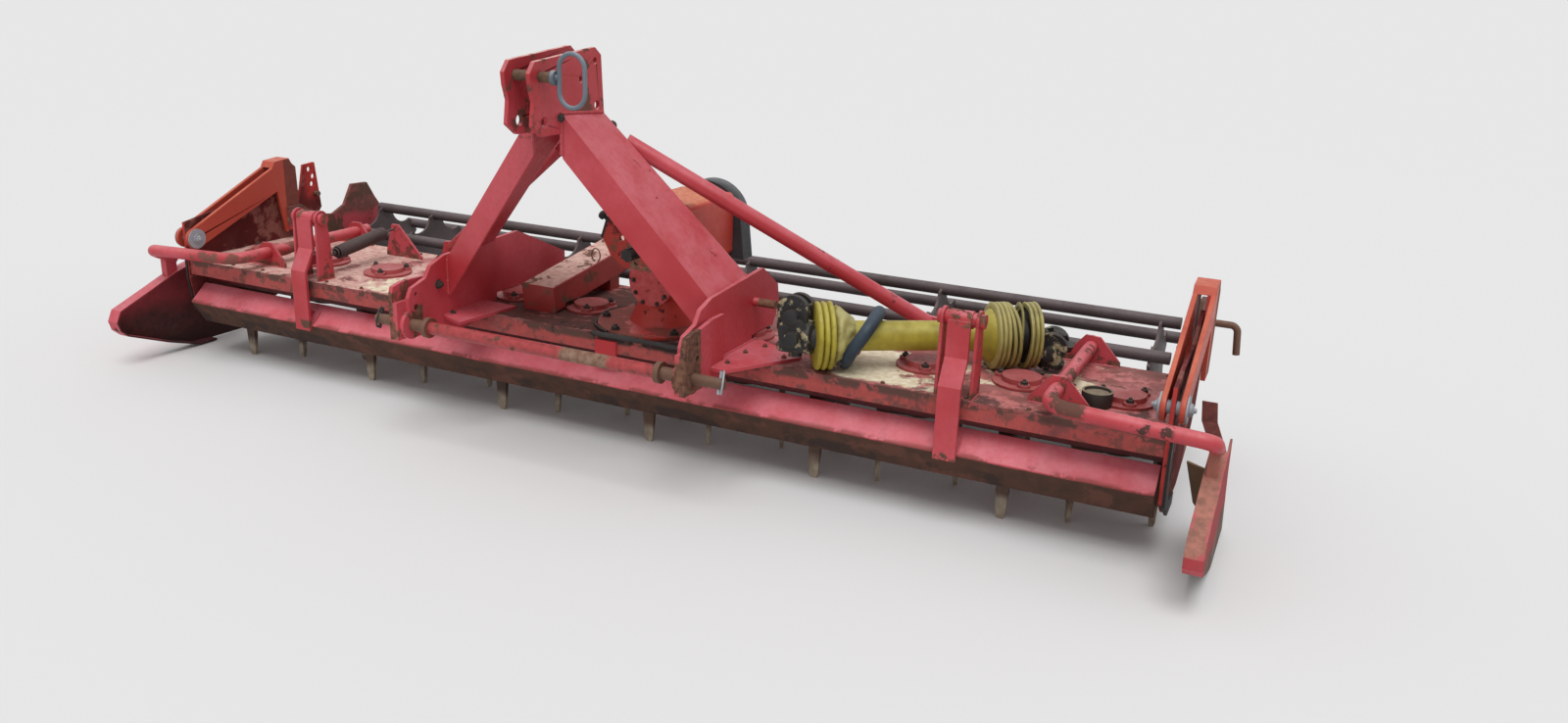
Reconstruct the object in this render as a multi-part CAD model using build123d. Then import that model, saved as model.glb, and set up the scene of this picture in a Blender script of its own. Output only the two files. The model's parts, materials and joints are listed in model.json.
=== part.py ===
import math
import os

from build123d import *

# Power harrow, 3 m, twelve rotors. Millimetres, Z up, ground at Z 0.
# X runs across the machine, -Y faces the tractor, the rotor row lies on Y 0 while modelling.

# Working row
rotorCount = 12
rotorPitch = 250.0
rotorReach = 118.0          # outermost radius of a turning rotor, under half the pitch
rotorAngles = (92.0, 22.0)  # rest angles of the tine bars from X, in turn, degrees
rowHalf = rotorCount * rotorPitch / 2

# Trough and its cover
deckTop = 320.0
coverThick = 6.0
coverFront = -200.0
coverRear = 270.0
coverLip = 48.0
coverLipThick = 5.0
rearLip = 34.0
troughDepth = 84.0
troughHalfTop = 185.0
troughHalfFoot = 120.0
troughTop = deckTop - coverThick
troughFoot = troughTop - troughDepth
rowSteps = [n - (rotorCount - 1) / 2 for n in range(rotorCount)]

# Bearing caps on the cover
capFlangeR = 72.0
capFlangeThick = 7.0
capHubR = 49.0
capRise = 13.0
capBoltRing = 56.0
capLobeR = 15.0

# Gearbox, which stands on the rotor right of the middle
gearRotor = rotorCount // 2
gearX = (gearRotor - (rotorCount - 1) / 2) * rotorPitch
gearFlangeR = 164.0
gearFlangeX, gearFlangeY = -13.0, -30.0     # its centre from the rotor's axis
gearFlangeThick = 9.0
gearConeFoot = 104.0
gearConeTop = 74.0
gearConeRise = 62.0
gearBodyTop = 604.0
inputZ = 548.0
inputR = 17.46
splineWide, splineRootR = 8.64, 14.5
splineLong, splineLock = 76.0, 38.0
splineLockWide = 7.0
inputFront = -212.0
inputSealR = 50.0
inputSealFront = -118.0
coverNoseR = 65.0
coverNoseZ = 450.0
coverHeadR = 58.0
coverNoseFront = -94.0
housingFront = -48.0
housingRear = 196.0
housingR = 92.0
housingZ = 566.0
housingHalf = 88.0
housingTop = 662.0
housingFoot = 486.0
housingRound = 14.0
speedPlateThick = 10.0
guardR = 108.0
guardFootHalf = 120.0
guardMid = 580.0
guardLow = 474.0
guardDeep = 56.0
guardBack = 8.0
rearShaftLong = 92.0

# End plates that close the trough and carry the roller arms
endThick = 10.0
endInner = rowHalf
endOuter = endInner + endThick
armPivotY = -184.0
armPivotZ = 386.0
armPinR = 15.0
washerR = 31.0

# Roller arms: a fork over each end plate
armThick = 12.0
armGap = 10.0
armInner = endInner - armGap - armThick
armOuter = endOuter + armGap + armThick
armBossR = 33.0
hangerThick = 12.0

# Cage roller
rollerR = 203.6
rollerY = 553.5
rollerEndGap = 46.0
rollerHalf = armInner - hangerThick - rollerEndGap
rollerTubeR = 17.0
rollerTubes = 7
rollerPhase = 86.0
rollerShaftR = 30.0
rollerStubR = 20.0
rollerDiscs = (1368.0, 735.0, 100.0, -535.0, -1168.0, -1400.0)
rollerDiscThick = 8.0
rollerZ = 190.0

# Clod board in front of the tines, its arms and its springs
boardHalf = 1494.0
boardThick = 6.0
boardBackY, boardBackZ = -157.0, 238.0
boardFoldY, boardFoldZ = -218.0, 187.0
boardFootY, boardFootZ = -171.0, 112.0
boardArmX = 1010.0
hingeY = -165.0
hingeZ = 506.0
hingeR = 17.0
strapWide = 56.0
strapThick = 9.0
earThick = 8.0
earInner = 39.0
earHeadR = 25.0
springR = 21.0
springWire = 3.5
springEyeY, springEyeZ = -112.0, 374.0
springTailY, springTailZ = 176.0, 412.0

# Side shields, which hang from cranked tubes
tubeR = 18.0
tubeX = 1238.0
tubeZ = 362.0
tubeFrontY = -250.0
tubeRearY = 302.0
tubeBend = 62.0
tubeEarFront = -122.0
tubeEarRear = 280.0
tubeEarThick = 8.0
shieldX = 1628.0
shieldThick = 5.0
shieldRim = 36.0

# Headstock, legs, hitch plates and lower link pins
topPlateInner = 30.0
topPlateThick = 12.0
topPlateOuter = topPlateInner + topPlateThick
topPinY = -444.0
topPinZ = 1005.0
topPinR = 12.5
legSheet = 12.0
hitchInner = 404.0
hitchThick = 12.0
hitchOuter = hitchInner + hitchThick
hitchDoubler = 15.0
earSheet = 12.0
earStand = hitchOuter + hitchDoubler
earFace = earStand + earSheet
hitchNose = -465.0
hitchFold = -432.0
pinY = -421.0
pinZ = 332.0
pinR = 14.0
pinRootR = 16.0
pinLong = 81.0
pinHalf = earFace + pinLong
linkTubeR = 17.0
collarR = 27.0
braceR = 21.0
braceFootX = 806.0
braceFootY = 226.0
braceHeadX = 66.0
braceHeadY = -176.0
braceHeadZ = 852.0

# Box beam that lies on the cover
beamWide = 106.0
beamHigh = 78.0
beamLong = 470.0
beamX = -229.0
beamFrontY = -102.0
beamRise = 7.4

# Drive shaft that lies on the cover, with its guard
shaftZ = 406.3
shaftLeft = Vector(680, -146, shaftZ)
shaftRight = Vector(1066, 100, shaftZ)
shaftTubeR = 38.0
bellowR = 86.0
bellowRoot = 70.0
yokeR = 30.0
fit = 0.05                  # running clearance of a pin in its bore
seat = 0.3                  # gap between curved faces that only touch

# The whole model is moved along Y so that the middle of its length is at Y 0
frontMost = -487.0
tubeRing = rollerR - rollerTubeR
tubeAngles = [math.radians(rollerPhase + 360.0 / rollerTubes * n) for n in range(rollerTubes)]
rearMost = rollerY + tubeRing * max(math.cos(angle) for angle in tubeAngles) + rollerTubeR
rowShift = -(frontMost + rearMost) / 2


def sheetYZ(points, x0, x1):
    """Plate cut to points of (Y, Z), from x0 to x1."""
    face = make_face(Polyline(*points, close=True))
    return extrude(Plane.YZ.offset(min(x0, x1)) * face, abs(x1 - x0))


def sheetXZ(points, y0, y1):
    """Plate cut to points of (X, Z), from y0 to y1."""
    face = make_face(Polyline(*points, close=True))
    return extrude(Plane.XZ.offset(-max(y0, y1)) * face, abs(y1 - y0))


def sheetXY(points, z0, z1):
    """Plate cut to points of (X, Y), from z0 to z1."""
    face = make_face(Polyline(*points, close=True))
    return extrude(Plane.XY.offset(min(z0, z1)) * face, abs(z1 - z0))


def rod(a, b, r):
    """Round bar between two points."""
    a, b = Vector(*a), Vector(*b)
    side = Plane(origin=a, z_dir=b - a)
    return side * Cylinder(r, (b - a).length, align=(Align.CENTER, Align.CENTER, Align.MIN))


def rodX(x0, x1, y, z, r):
    return rod((x0, y, z), (x1, y, z), r)


def bent(points, t):
    """Outline of a sheet of thickness t folded along points of a plane, on their right-hand side."""
    normals = []
    for (a, b), (c, d) in zip(points, points[1:]):
        run = math.hypot(c - a, d - b)
        normals.append(((d - b) / run, -(c - a) / run))
    inner = []
    for n, (a, b) in enumerate(points):
        p = normals[max(n - 1, 0)]
        q = normals[min(n, len(normals) - 1)]
        share = t / (1 + p[0] * q[0] + p[1] * q[1])
        inner.append((a + share * (p[0] + q[0]), b + share * (p[1] + q[1])))
    return list(points) + inner[::-1]


def mirrored(shape):
    return mirror(shape, about=Plane.YZ)


def both(shape):
    return [shape, mirrored(shape)]


nodes = {}


def keep(name, shapes):
    """Moves the pieces to the record's frame and writes one node."""
    shapes = shapes if isinstance(shapes, list) else [shapes]
    solids = [Pos(0, rowShift, 0) * s for shape in shapes for s in shape.solids()]
    nodes[name] = solids[0] if len(solids) == 1 else Compound(children=solids)


# Trough, its cover and the end plates
troughLine = [(-troughHalfTop, troughTop), (-troughHalfFoot, troughFoot), (troughHalfFoot, troughFoot),
              (troughHalfTop, troughTop)]
trough = sheetYZ(troughLine, -rowHalf, rowHalf)
keep("trough", trough)

coverLine = [(coverFront, deckTop - coverLip), (coverFront, deckTop), (coverRear, deckTop),
             (coverRear, deckTop - rearLip), (coverRear - coverLipThick, deckTop - rearLip),
             (coverRear - coverLipThick, troughTop), (coverFront + coverLipThick, troughTop),
             (coverFront + coverLipThick, deckTop - coverLip)]
cover = sheetYZ(coverLine, -rowHalf, rowHalf)
tabLow = boardBackZ + 9.0
tabHigh = deckTop - 14.0
tab = sheetXZ([(22, tabLow), (88, tabLow), (88, tabHigh), (22, tabHigh)], coverFront - coverThick, coverFront)
keep("trough_cover", cover + tab)

endLine = [(-206, 262), (-206, 438), (-106, 456), (60, 468), (166, 524), (190, 380), (206, 350), (246, 372), (292, 556),
           (344, 560), (362, 402), (300, 330), (286, 246), (196, 152), (64, 108), (-118, 108), (-190, 156)]
endHoles = [(318, 538), (334, 512), (327, 486), (336, 452)]
endPlate = sheetYZ(endLine, endInner, endOuter)
for y, z in endHoles:
    endPlate -= rodX(endInner - 1, endOuter + 1, y, z, 9.0 + fit)
endPlate -= rodX(endInner - 1, endOuter + 1, armPivotY, armPivotZ, armPinR + fit)
keep("end_plates", both(endPlate))

# Bearing caps: a round flange, a raised cover and three bolt lobes
capSpots = [step * rotorPitch for n, step in enumerate(rowSteps) if n != gearRotor]
capLobes = (50.0, 170.0, 290.0)
capTop = deckTop + capFlangeThick + capRise
cap = Pos(0, 0, deckTop) * Cylinder(capFlangeR, capFlangeThick, align=(Align.CENTER, Align.CENTER, Align.MIN))
raised = Pos(0, 0, deckTop + capFlangeThick) * Cylinder(
    capHubR, capRise, align=(Align.CENTER, Align.CENTER, Align.MIN))
for lobe in capLobes:
    reach = Rot(0, 0, lobe) * Pos(capBoltRing, 0, 0)
    raised += reach * Pos(0, 0, deckTop + capFlangeThick) * Cylinder(
        capLobeR, capRise * 0.62, align=(Align.CENTER, Align.CENTER, Align.MIN))
cap += raised
keep("bearing_caps", [Pos(x, 0, 0) * cap for x in capSpots])

# Rotors: a hub, two tine arms and two blade tines each
rotorHubR = 52.0
rotorHubTop = troughFoot - 6.0
rotorNeckR = 36.0
rotorArmThick = 26.0
tineRing = 98.0
tineTop = rotorHubTop - 4
tineWide, tineThick = 34.0, 15.0
tineTipWide, tineTipThick = 24.0, 9.0
tineShoulder = 96.0


def rotor(angle):
    low = rotorHubTop - rotorArmThick
    hub = Pos(0, 0, low) * Cylinder(rotorHubR, rotorArmThick, align=(Align.CENTER, Align.CENTER, Align.MIN))
    hub += Pos(0, 0, rotorHubTop) * Cylinder(rotorNeckR, troughFoot - rotorHubTop - seat,
                                             align=(Align.CENTER, Align.CENTER, Align.MIN))
    hub += Pos(0, 0, low - 9) * Cylinder(20, 9, align=(Align.CENTER, Align.CENTER, Align.MIN))
    for turn in (0.0, 180.0):
        arm = make_face(Polyline((0, -44), (tineRing, -23), (rotorReach - 4, -16), (rotorReach - 4, 16),
                                 (tineRing, 23), (0, 44), close=True))
        arm = extrude(Plane.XY.offset(low) * arm, rotorArmThick)
        high = Plane.XY.offset(low) * Pos(tineRing, 0) * Rectangle(tineThick, tineWide)
        mid = Plane.XY.offset(tineShoulder) * Pos(tineRing + 2, 0) * Rectangle(tineThick, tineWide)
        tip = Plane.XY.offset(14) * Pos(tineRing + 4, 1) * Rectangle(tineTipThick + 2, tineTipWide)
        end = Plane.XY * Pos(tineRing + 4, 2) * Rectangle(tineTipThick, tineTipWide - 10)
        tine = loft([high, mid], ruled=True) + loft([mid, tip], ruled=True) + loft([tip, end], ruled=True)
        nut = Pos(tineRing, 0, rotorHubTop) * Cylinder(12, 4.5, align=(Align.CENTER, Align.CENTER, Align.MIN))
        hub += Rot(0, 0, turn) * (arm + tine + nut)
    return Rot(0, 0, angle) * hub


for n, step in enumerate(rowSteps):
    turned = rotor(rotorAngles[n % 2])
    keep(f"rotor_{n + 1:02d}", Pos(step * rotorPitch, 0, 0) * turned)

# Gearbox on its flange and cone, with the round front cover and the input housing
up = (Align.CENTER, Align.CENTER, Align.MIN)
gearFoot = deckTop + gearFlangeThick
gearbox = Pos(gearX + gearFlangeX, gearFlangeY, deckTop) * Cylinder(gearFlangeR, gearFlangeThick, align=up)
gearbox += Pos(gearX, 0, gearFoot) * Cone(gearConeFoot, gearConeTop, gearConeRise, align=up)
bodyFoot = gearFoot + gearConeRise
barrel = Pos(gearX, 0, bodyFoot) * Cylinder(gearConeTop, gearBodyTop - bodyFoot, align=up)
frontCover = rod((gearX, 0, coverNoseZ), (gearX, coverNoseFront, coverNoseZ), coverNoseR)
frontCover += rod((gearX, 0, inputZ), (gearX, coverNoseFront, inputZ), coverHeadR)
frontCover += sheetXZ([(gearX - coverNoseR, coverNoseZ), (gearX - coverHeadR, inputZ), (gearX + coverHeadR, inputZ),
                       (gearX + coverNoseR, coverNoseZ)], coverNoseFront, 0)
frontCover += rod((gearX, 0, inputZ), (gearX, inputSealFront, inputZ), inputSealR)
gearbox += barrel + frontCover
keep("gearbox", gearbox)

# Input shaft with six splines and the groove that a coupling locks into
splineCount = 6
splineEnd = inputFront + splineLong
shaftStub = rod((gearX, inputSealFront, inputZ), (gearX, splineEnd, inputZ), inputR)
splines = rod((gearX, splineEnd, inputZ), (gearX, inputFront, inputZ), splineRootR)
for n in range(splineCount):
    splines += Pos(gearX, inputFront + splineLong / 2, inputZ) * Rot(0, 360.0 / splineCount * n, 0) * Pos(
        0, 0, inputR / 2) * Box(splineWide, splineLong, inputR)
splines &= rod((gearX, splineEnd, inputZ), (gearX, inputFront, inputZ), inputR)
lockFront = inputFront + splineLock - splineLockWide / 2
splines -= rod((gearX, lockFront, inputZ), (gearX, lockFront + splineLockWide, inputZ), inputR + 1) - rod(
    (gearX, lockFront, inputZ), (gearX, lockFront + splineLockWide, inputZ), splineRootR)
keep("input_shaft", shaftStub + splines)

# Speed housing behind the gearbox, rounded at the top, with its front plate
housing = Pos(gearX + 8, (housingFront + housingRear) / 2, (housingTop + housingFoot) / 2) * Box(
    2 * housingHalf, housingRear - housingFront, housingTop - housingFoot)
housing = fillet(housing.edges().filter_by(Axis.Y), housingRound)
housing -= barrel + frontCover
plateLine = [(-48, 548), (-30, 600), (8, 628), (62, 628), (62, 470), (20, 470), (-22, 500)]
plate = sheetXZ(plateLine, housingFront - speedPlateThick, housingFront)
for x, z in ((14, 552), (10, 506)):
    plate -= rod((x, housingFront - 20, z), (x, housingFront + 10, z), 8)
plate -= barrel + frontCover
keep("speed_housing", housing + plate)

# Arched guard over the rear shaft, open at its foot
guardX = gearX + 12
guardWall = 4.0


def arch(inset, low):
    """Face with a round head and flared sides, drawn in X and Z."""
    wide, foot = guardR - inset, guardFootHalf - inset
    head = ThreePointArc((guardX - wide, guardMid), (guardX, guardMid + wide), (guardX + wide, guardMid))
    sides = Polyline((guardX + wide, guardMid), (guardX + foot, low), (guardX - foot, low), (guardX - wide, guardMid))
    return make_face(head.edges() + sides.edges())


guardRear = housingRear + guardDeep
guard = extrude(Plane.XZ.offset(-guardRear) * arch(0, guardLow), guardDeep)
guard -= extrude(Plane.XZ.offset(-guardRear - 1) * arch(guardWall, guardLow - 10), guardDeep + 1 - guardBack)
guardAxis = Plane(origin=(guardX, housingRear, housingZ), z_dir=(0, 1, 0))
guard += guardAxis * Cylinder(34, guardBack + 6, align=up)
guard -= guardAxis * Cylinder(24 + seat, guardBack + 7, align=up)
keep("rear_guard", guard)
keep("rear_shaft", guardAxis * Cylinder(24, rearShaftLong, align=up))

# Headstock: two plates, the web below them and the rear lug that holds the braces
topLine = [(-465, 1040), (-219, 1063), (-192, 1043), (-180, 888), (-250, 872), (-330, 866), (-442, 866),
           (-480, 893), (-472, 948), (-484, 985), (frontMost, 1013)]
topHoles = [(topPinY, topPinZ, topPinR + fit), (-433, 899, 13.0), (-219, 1030, 8.0), (-282, 989, 8.0),
            (-212, 922, 11.0), (-300, 914, 8.0)]
topPlate = sheetYZ(topLine, topPlateInner, topPlateOuter)
for y, z, r in topHoles:
    topPlate -= rodX(topPlateInner - 1, topPlateOuter + 1, y, z, r)
web = Pos(0, -330, 872) * Box(2 * topPlateInner, 150, 12)
lug = sheetXZ([(-92, 820), (92, 820), (94, 829), (44, 884), (-44, 884), (-94, 829)], -184, -172)
lug += sheetXZ([(-topPlateInner, 868), (topPlateInner, 868), (topPlateInner, 896), (-topPlateInner, 896)],
               -196, -184)
headstock = topPlate + mirrored(topPlate) + web + lug
keep("headstock", headstock)

# Top link pin with its bent wire handle
handleWire = 5.5
handleWide, handleTall = 70.0, 122.0
handleLeft = 93.0
handleDrop = 4.0
topPin = rodX(-58, 74, topPinY, topPinZ, topPinR)
topPin += rodX(74, 86, topPinY, topPinZ, 17)
handlePlane = Plane(origin=(handleLeft + handleWide / 2, topPinY, topPinZ - handleDrop), x_dir=(0, 0, 1),
                    z_dir=(0, -1, 0))
ringLine = (handlePlane * SlotOverall(handleTall, handleWide)).faces()[0].outer_wire()
handle = sweep(Plane(origin=ringLine @ 0, z_dir=ringLine % 0) * Circle(handleWire), path=ringLine)
handleLug = rod((86, topPinY, topPinZ), (handleLeft, topPinY, topPinZ), 8)
keep("top_link_pin", topPin + handleLug + handle)

# Legs: folded angle sheets, from the headstock plates down to the hitch plates
legHead = [(-366, 914), (-182, 902), (-182, 902 - legSheet), (-366 + 9, 914 - legSheet), (-357, 806), (-366, 806)]
legFoot = [(-276, 486), (-72, 506), (-72, 506 - legSheet), (-276 + 9, 486 - legSheet), (-267, 372), (-276, 372)]


def leg():
    head = Plane.YZ.offset(topPlateOuter) * make_face(Polyline(*legHead, close=True))
    foot = Plane.YZ.offset(hitchInner) * make_face(Polyline(*legFoot, close=True))
    return loft([head, foot], ruled=True)


keep("headstock_legs", both(leg()))

# Hitch plates: side plate, folded lower link ear and deck gusset
hitchFront = [(hitchFold, 296), (hitchFold, 405), (-418, 430), (-362, 446), (-340, 476), (-284, 494)]
hitchFoot = [(coverFront - 2, deckTop), (coverFront - 2, 276), (-300, 270), (-384, 296)]
rightRear = [(0, 512), (92, 450), (104, 392), (64, 340), (40, deckTop)]
leftRear = [(40, 504), (coverRear, 401), (coverRear, deckTop)]
earPlan = [(earStand, hitchNose), (earFace, hitchNose), (earFace, -385), (hitchOuter + earSheet, -300),
           (hitchOuter + earSheet, -240), (hitchOuter, -240), (hitchOuter, -300), (earStand, -385)]
earSide = [(hitchNose, 297), (hitchNose, 415), (-458, 438), (-425, 446), (-240, 446), (-240, 274), (-300, 271),
           (-384, 297)]
pinBossR = 38.0


def hitchPlate(rear):
    """Main plate, a doubler at its nose and the joggled ear outside it, bored in line for the pin."""
    flat = sheetYZ(hitchFront + rear + hitchFoot, hitchInner, hitchOuter)
    flat += rodX(hitchInner, hitchOuter, pinY, pinZ, pinBossR)
    flat += sheetYZ([(hitchNose, 297), (hitchNose, 398), (-400, 398), (-400, 297)], hitchOuter, earStand)
    ear = sheetXY(earPlan, 260, 450) & sheetYZ(earSide, hitchOuter, earFace)
    body = flat + ear + rodX(earStand, earFace, pinY, pinZ, pinBossR)
    body -= rodX(hitchInner - 1, earFace + 1, pinY, pinZ, pinRootR + fit)
    for y, z, r in ((-404, 376, 9.0), (-404, 412, 6.0)):
        body -= rodX(hitchInner - 1, earFace + 1, y, z, r)
    return body


gusset = 8.0
rightHitch = hitchPlate(rightRear) + sheetXY(
    [(hitchOuter, -30), (584, -112), (584, -128), (474, -318), (hitchOuter, -318)], deckTop, deckTop + gusset)
rightHitch += rodX(hitchOuter, hitchOuter + 62, -50, 432, 11)
capArch = Pos(capSpots[6], 0, deckTop - 1) * Cylinder(capFlangeR + 2, capTop + 3 - deckTop, align=up)
rightHitch -= capArch
leftHitch = mirrored(hitchPlate(leftRear)) + sheetXY(
    [(-hitchInner, -112), (-300, -116), (-326, -330), (-hitchInner, -300)], deckTop, deckTop + gusset)
leftHitch -= mirrored(capArch)
keep("hitch_plates", [rightHitch, leftHitch])

# Lower link bar: tube between the plates, collars, and pins that run out past the ears
linkBar = rodX(-352, 352, pinY, pinZ, linkTubeR)
linkBar += rodX(-pinHalf, pinHalf, pinY, pinZ, pinR)
linkBar += rodX(-earFace, earFace, pinY, pinZ, pinRootR)
for side in (-1, 1):
    linkBar += rodX(side * 344, side * 358, pinY, pinZ, collarR)
keep("link_bar", linkBar)

# Braces from the headstock lug down to the back of the cover
def brace():
    head = Vector(braceHeadX, braceHeadY + 22, braceHeadZ - 12)
    foot = Vector(braceFootX, braceFootY, deckTop + 46)
    bar = rod(head + (foot - head) * 0.024, foot, braceR)
    palm = sheetXZ([(braceHeadX - 20, braceHeadZ - 4), (braceHeadX + 4, braceHeadZ - 4),
                    (braceHeadX + 52, braceHeadZ - 58), (braceHeadX + 18, braceHeadZ - 76),
                    (braceHeadX - 20, braceHeadZ - 44)], braceHeadY + 4, braceHeadY + 24)
    shoe = sheetXZ([(braceFootX - 26, deckTop + 8), (braceFootX + 44, deckTop + 8), (braceFootX + 30, deckTop + 64),
                    (braceFootX - 16, deckTop + 70)], braceFootY - 7, braceFootY + 7)
    pad = Pos(braceFootX + 8, braceFootY, deckTop + 4) * Box(96, 62, 8)
    return bar + palm + shoe + pad


keep("braces", both(brace()))

# Box beam: closed rectangular tube that rises to the rear, on a packer
beam = Box(beamWide, beamLong, beamHigh, align=(Align.CENTER, Align.MIN, Align.MIN))
beam = fillet(beam.edges().filter_by(Axis.Y), 6)
beam = Pos(beamX, beamFrontY, deckTop) * Rot(beamRise, 0, 0) * beam
beam -= Pos(capSpots[5], 0, deckTop) * Cylinder(capFlangeR + 2, capTop + 2 - deckTop, align=up)
packerFront, packerRear = 196.0, 246.0
rise = math.tan(math.radians(beamRise))
packer = sheetYZ([(packerFront, deckTop), (packerRear, deckTop),
                  (packerRear, deckTop + (packerRear - beamFrontY) * rise),
                  (packerFront, deckTop + (packerFront - beamFrontY) * rise)], beamX - 40, beamX + 40)
keep("box_beam", beam + packer)

# Ears of the side shield tubes, set across the tubes
earLine = [(-66, deckTop), (78, deckTop), (78, deckTop + 12), (22, tubeZ + 30), (-16, tubeZ + 32),
           (-66, deckTop + 14)]


def tubeEar(y):
    flat = sheetXZ([(tubeX + x, z) for x, z in earLine], y - tubeEarThick / 2, y + tubeEarThick / 2)
    flat += rod((tubeX, y - tubeEarThick / 2, tubeZ), (tubeX, y + tubeEarThick / 2, tubeZ), tubeR + 14)
    return flat - rod((tubeX, y - 20, tubeZ), (tubeX, y + 20, tubeZ), tubeR + fit)


ears = []
for y in (tubeEarFront, tubeEarRear - 24):
    ears += both(tubeEar(y))

# Ears of the clod board arms
armEarLine = [(-194, deckTop), (-130, deckTop), (-136, 420), (hingeY + 20, hingeZ), (hingeY - 22, hingeZ),
              (-190, 420)]


def armEar(x0, x1):
    flat = sheetYZ(armEarLine, x0, x1)
    flat += rodX(x0, x1, hingeY, hingeZ, earHeadR)
    return flat - rodX(x0 - 1, x1 + 1, hingeY, hingeZ, hingeR + fit)


for x0 in (boardArmX - earInner - earThick, boardArmX + earInner):
    ears += both(armEar(x0, x0 + earThick))

# Spring brackets at the back of the cover
springLine = [(-40, deckTop), (104, deckTop), (104, deckTop + 8), (14, springTailZ + 12), (-14, springTailZ + 12),
              (-40, deckTop + 14)]
bracketY = springTailY + 12
bracket = sheetXZ([(boardArmX - x, z) for x, z in springLine], bracketY, bracketY + 8)
bracket -= rod((boardArmX, bracketY - 2, springTailZ), (boardArmX, bracketY + 12, springTailZ), 5)
ears += both(bracket)
keep("deck_ears", ears)

# Arm pivots and depth pins in the end plates
pivot = rodX(armInner - 10, armOuter + 12, armPivotY, armPivotZ, armPinR)
pivot += rodX(armInner - 5, armInner - seat, armPivotY, armPivotZ, washerR)
pivot += rodX(armOuter + seat, armOuter + 5, armPivotY, armPivotZ, washerR)
keep("arm_pivots", both(pivot))

depthY, depthZ = endHoles[-1]
depthLine = FilletPolyline((armInner + 5, depthY, depthZ), (endOuter + 68, depthY, depthZ),
                           (endOuter + 74, depthY, depthZ - 74), radius=18.0)
depthPin = sweep(Plane(origin=depthLine @ 0, z_dir=depthLine % 0) * Circle(9.0), path=depthLine)
keep("depth_pins", both(depthPin))

# Filler cup on the cover
cupX, cupY, cupR, cupHigh = 1320.0, -66.0, 36.0, 36.0
cup = Pos(cupX, cupY, deckTop) * (Cylinder(cupR, cupHigh, align=up)
                                  - Pos(0, 0, cupHigh - 7) * Cylinder(cupR - 5, 8, align=up))
cup -= Pos(capSpots[-1], 0, deckTop) * Cylinder(capFlangeR + seat, capFlangeThick, align=up)
keep("filler_cup", cup)

# Clod board and its arms
boardLine = bent([(boardFootY, boardFootZ), (boardFoldY, boardFoldZ), (boardBackY, boardBackZ)], boardThick)
board = sheetYZ(boardLine, -boardHalf, boardHalf)
keep("clod_board", board)

strapY = boardFoldY - seat - strapThick
strapLine = bent([(hingeY - hingeR, hingeZ), (hingeY - hingeR, 414), (boardFoldY - seat, 352),
                  (boardFoldY - seat, 172)], strapThick)
slope = (boardBackZ - boardFoldZ) / (boardBackY - boardFoldY)


def boardArm():
    strap = sheetYZ(strapLine, boardArmX - strapWide / 2, boardArmX + strapWide / 2)
    strap += rodX(boardArmX - strapWide / 2, boardArmX + strapWide / 2, hingeY, hingeZ, hingeR + 4)
    strap += rodX(boardArmX - earInner - earThick - 10, boardArmX + earInner + earThick + 10, hingeY, hingeZ,
                  hingeR)
    web = sheetYZ([(boardFoldY - seat, boardFoldZ + seat), (boardFoldY + 38, boardFoldZ + seat + 38 * slope),
                   (boardFoldY - seat, boardFoldZ + 58)], boardArmX - 5, boardArmX + 5)
    eye = sheetYZ([(-196, 396), (springEyeY + 10, springEyeZ + 12), (springEyeY + 10, springEyeZ - 10),
                   (-213, 362)], boardArmX - 4, boardArmX + 4)
    eye -= rodX(boardArmX - 6, boardArmX + 6, springEyeY, springEyeZ, springWire + 1.5)
    return strap + web + eye


keep("board_arms", both(boardArm()))

# Tension spring of the left arm: a plain body here, with a hook at each end
def spring():
    a = Vector(boardArmX, springEyeY + 34, springEyeZ + 5)
    b = Vector(boardArmX, springTailY - 34, springTailZ - 5)
    body = rod(a, b, springR)
    front = rod((boardArmX, springEyeY + 11, springEyeZ), a, springWire)
    back = rod(b, (boardArmX, bracketY - seat, springTailZ), springWire)
    return body + front + back


keep("tension_spring", mirrored(spring()))

# Roller arms: two bars and the cap that joins them over the end plate
armLine = [(armPivotY - 20, armPivotZ + 26), (138, 566), (222, 574), (238, 560), (244, 350), (178, 344),
           (152, 486), (armPivotY + 17, armPivotZ - 28)]


def rollerArm():
    arm = Part()
    for x0 in (armInner, armOuter - armThick):
        bar = sheetYZ(armLine, x0, x0 + armThick)
        bar += rodX(x0, x0 + armThick, armPivotY, armPivotZ, armBossR)
        arm += bar - rodX(x0 - 1, x0 + armThick + 1, armPivotY, armPivotZ, armPinR + fit)
    arm += sheetYZ([(138, 566), (150, 586), (212, 592), (222, 574), (218, 566)], armInner, armOuter)
    return arm


keep("roller_arms", both(rollerArm()))

hangerLine = [(184, 430), (184, 352), (278, 352), (322, 326), (470, 158), (552, 130), (622, 152), (634, 218),
              (654, 319), (588, 407), (552, 465), (478, 468), (436, 400), (380, 376), (300, 388), (244, 430)]
bearingR = 46.0


def hanger():
    flat = sheetYZ(hangerLine, armInner - hangerThick, armInner)
    flat += rodX(armInner - hangerThick - 22, armInner, rollerY, rollerZ, bearingR)
    flat -= rodX(armInner - 60, armInner + 1, rollerY, rollerZ, rollerStubR + fit)
    return flat


keep("roller_hangers", both(hanger()))

# Cage roller: tubes in the notches of star discs on a central shaft
rollerAt = Pos(0, rollerY, rollerZ)


def spoke(n):
    angle = math.radians(rollerPhase + 360.0 / rollerTubes * n)
    return tubeRing * math.cos(angle), tubeRing * math.sin(angle)


tubes = [rodX(-rollerHalf, rollerHalf, rollerY + spoke(n)[0], rollerZ + spoke(n)[1], rollerTubeR)
         for n in range(rollerTubes)]
keep("roller_tubes", tubes)

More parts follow.
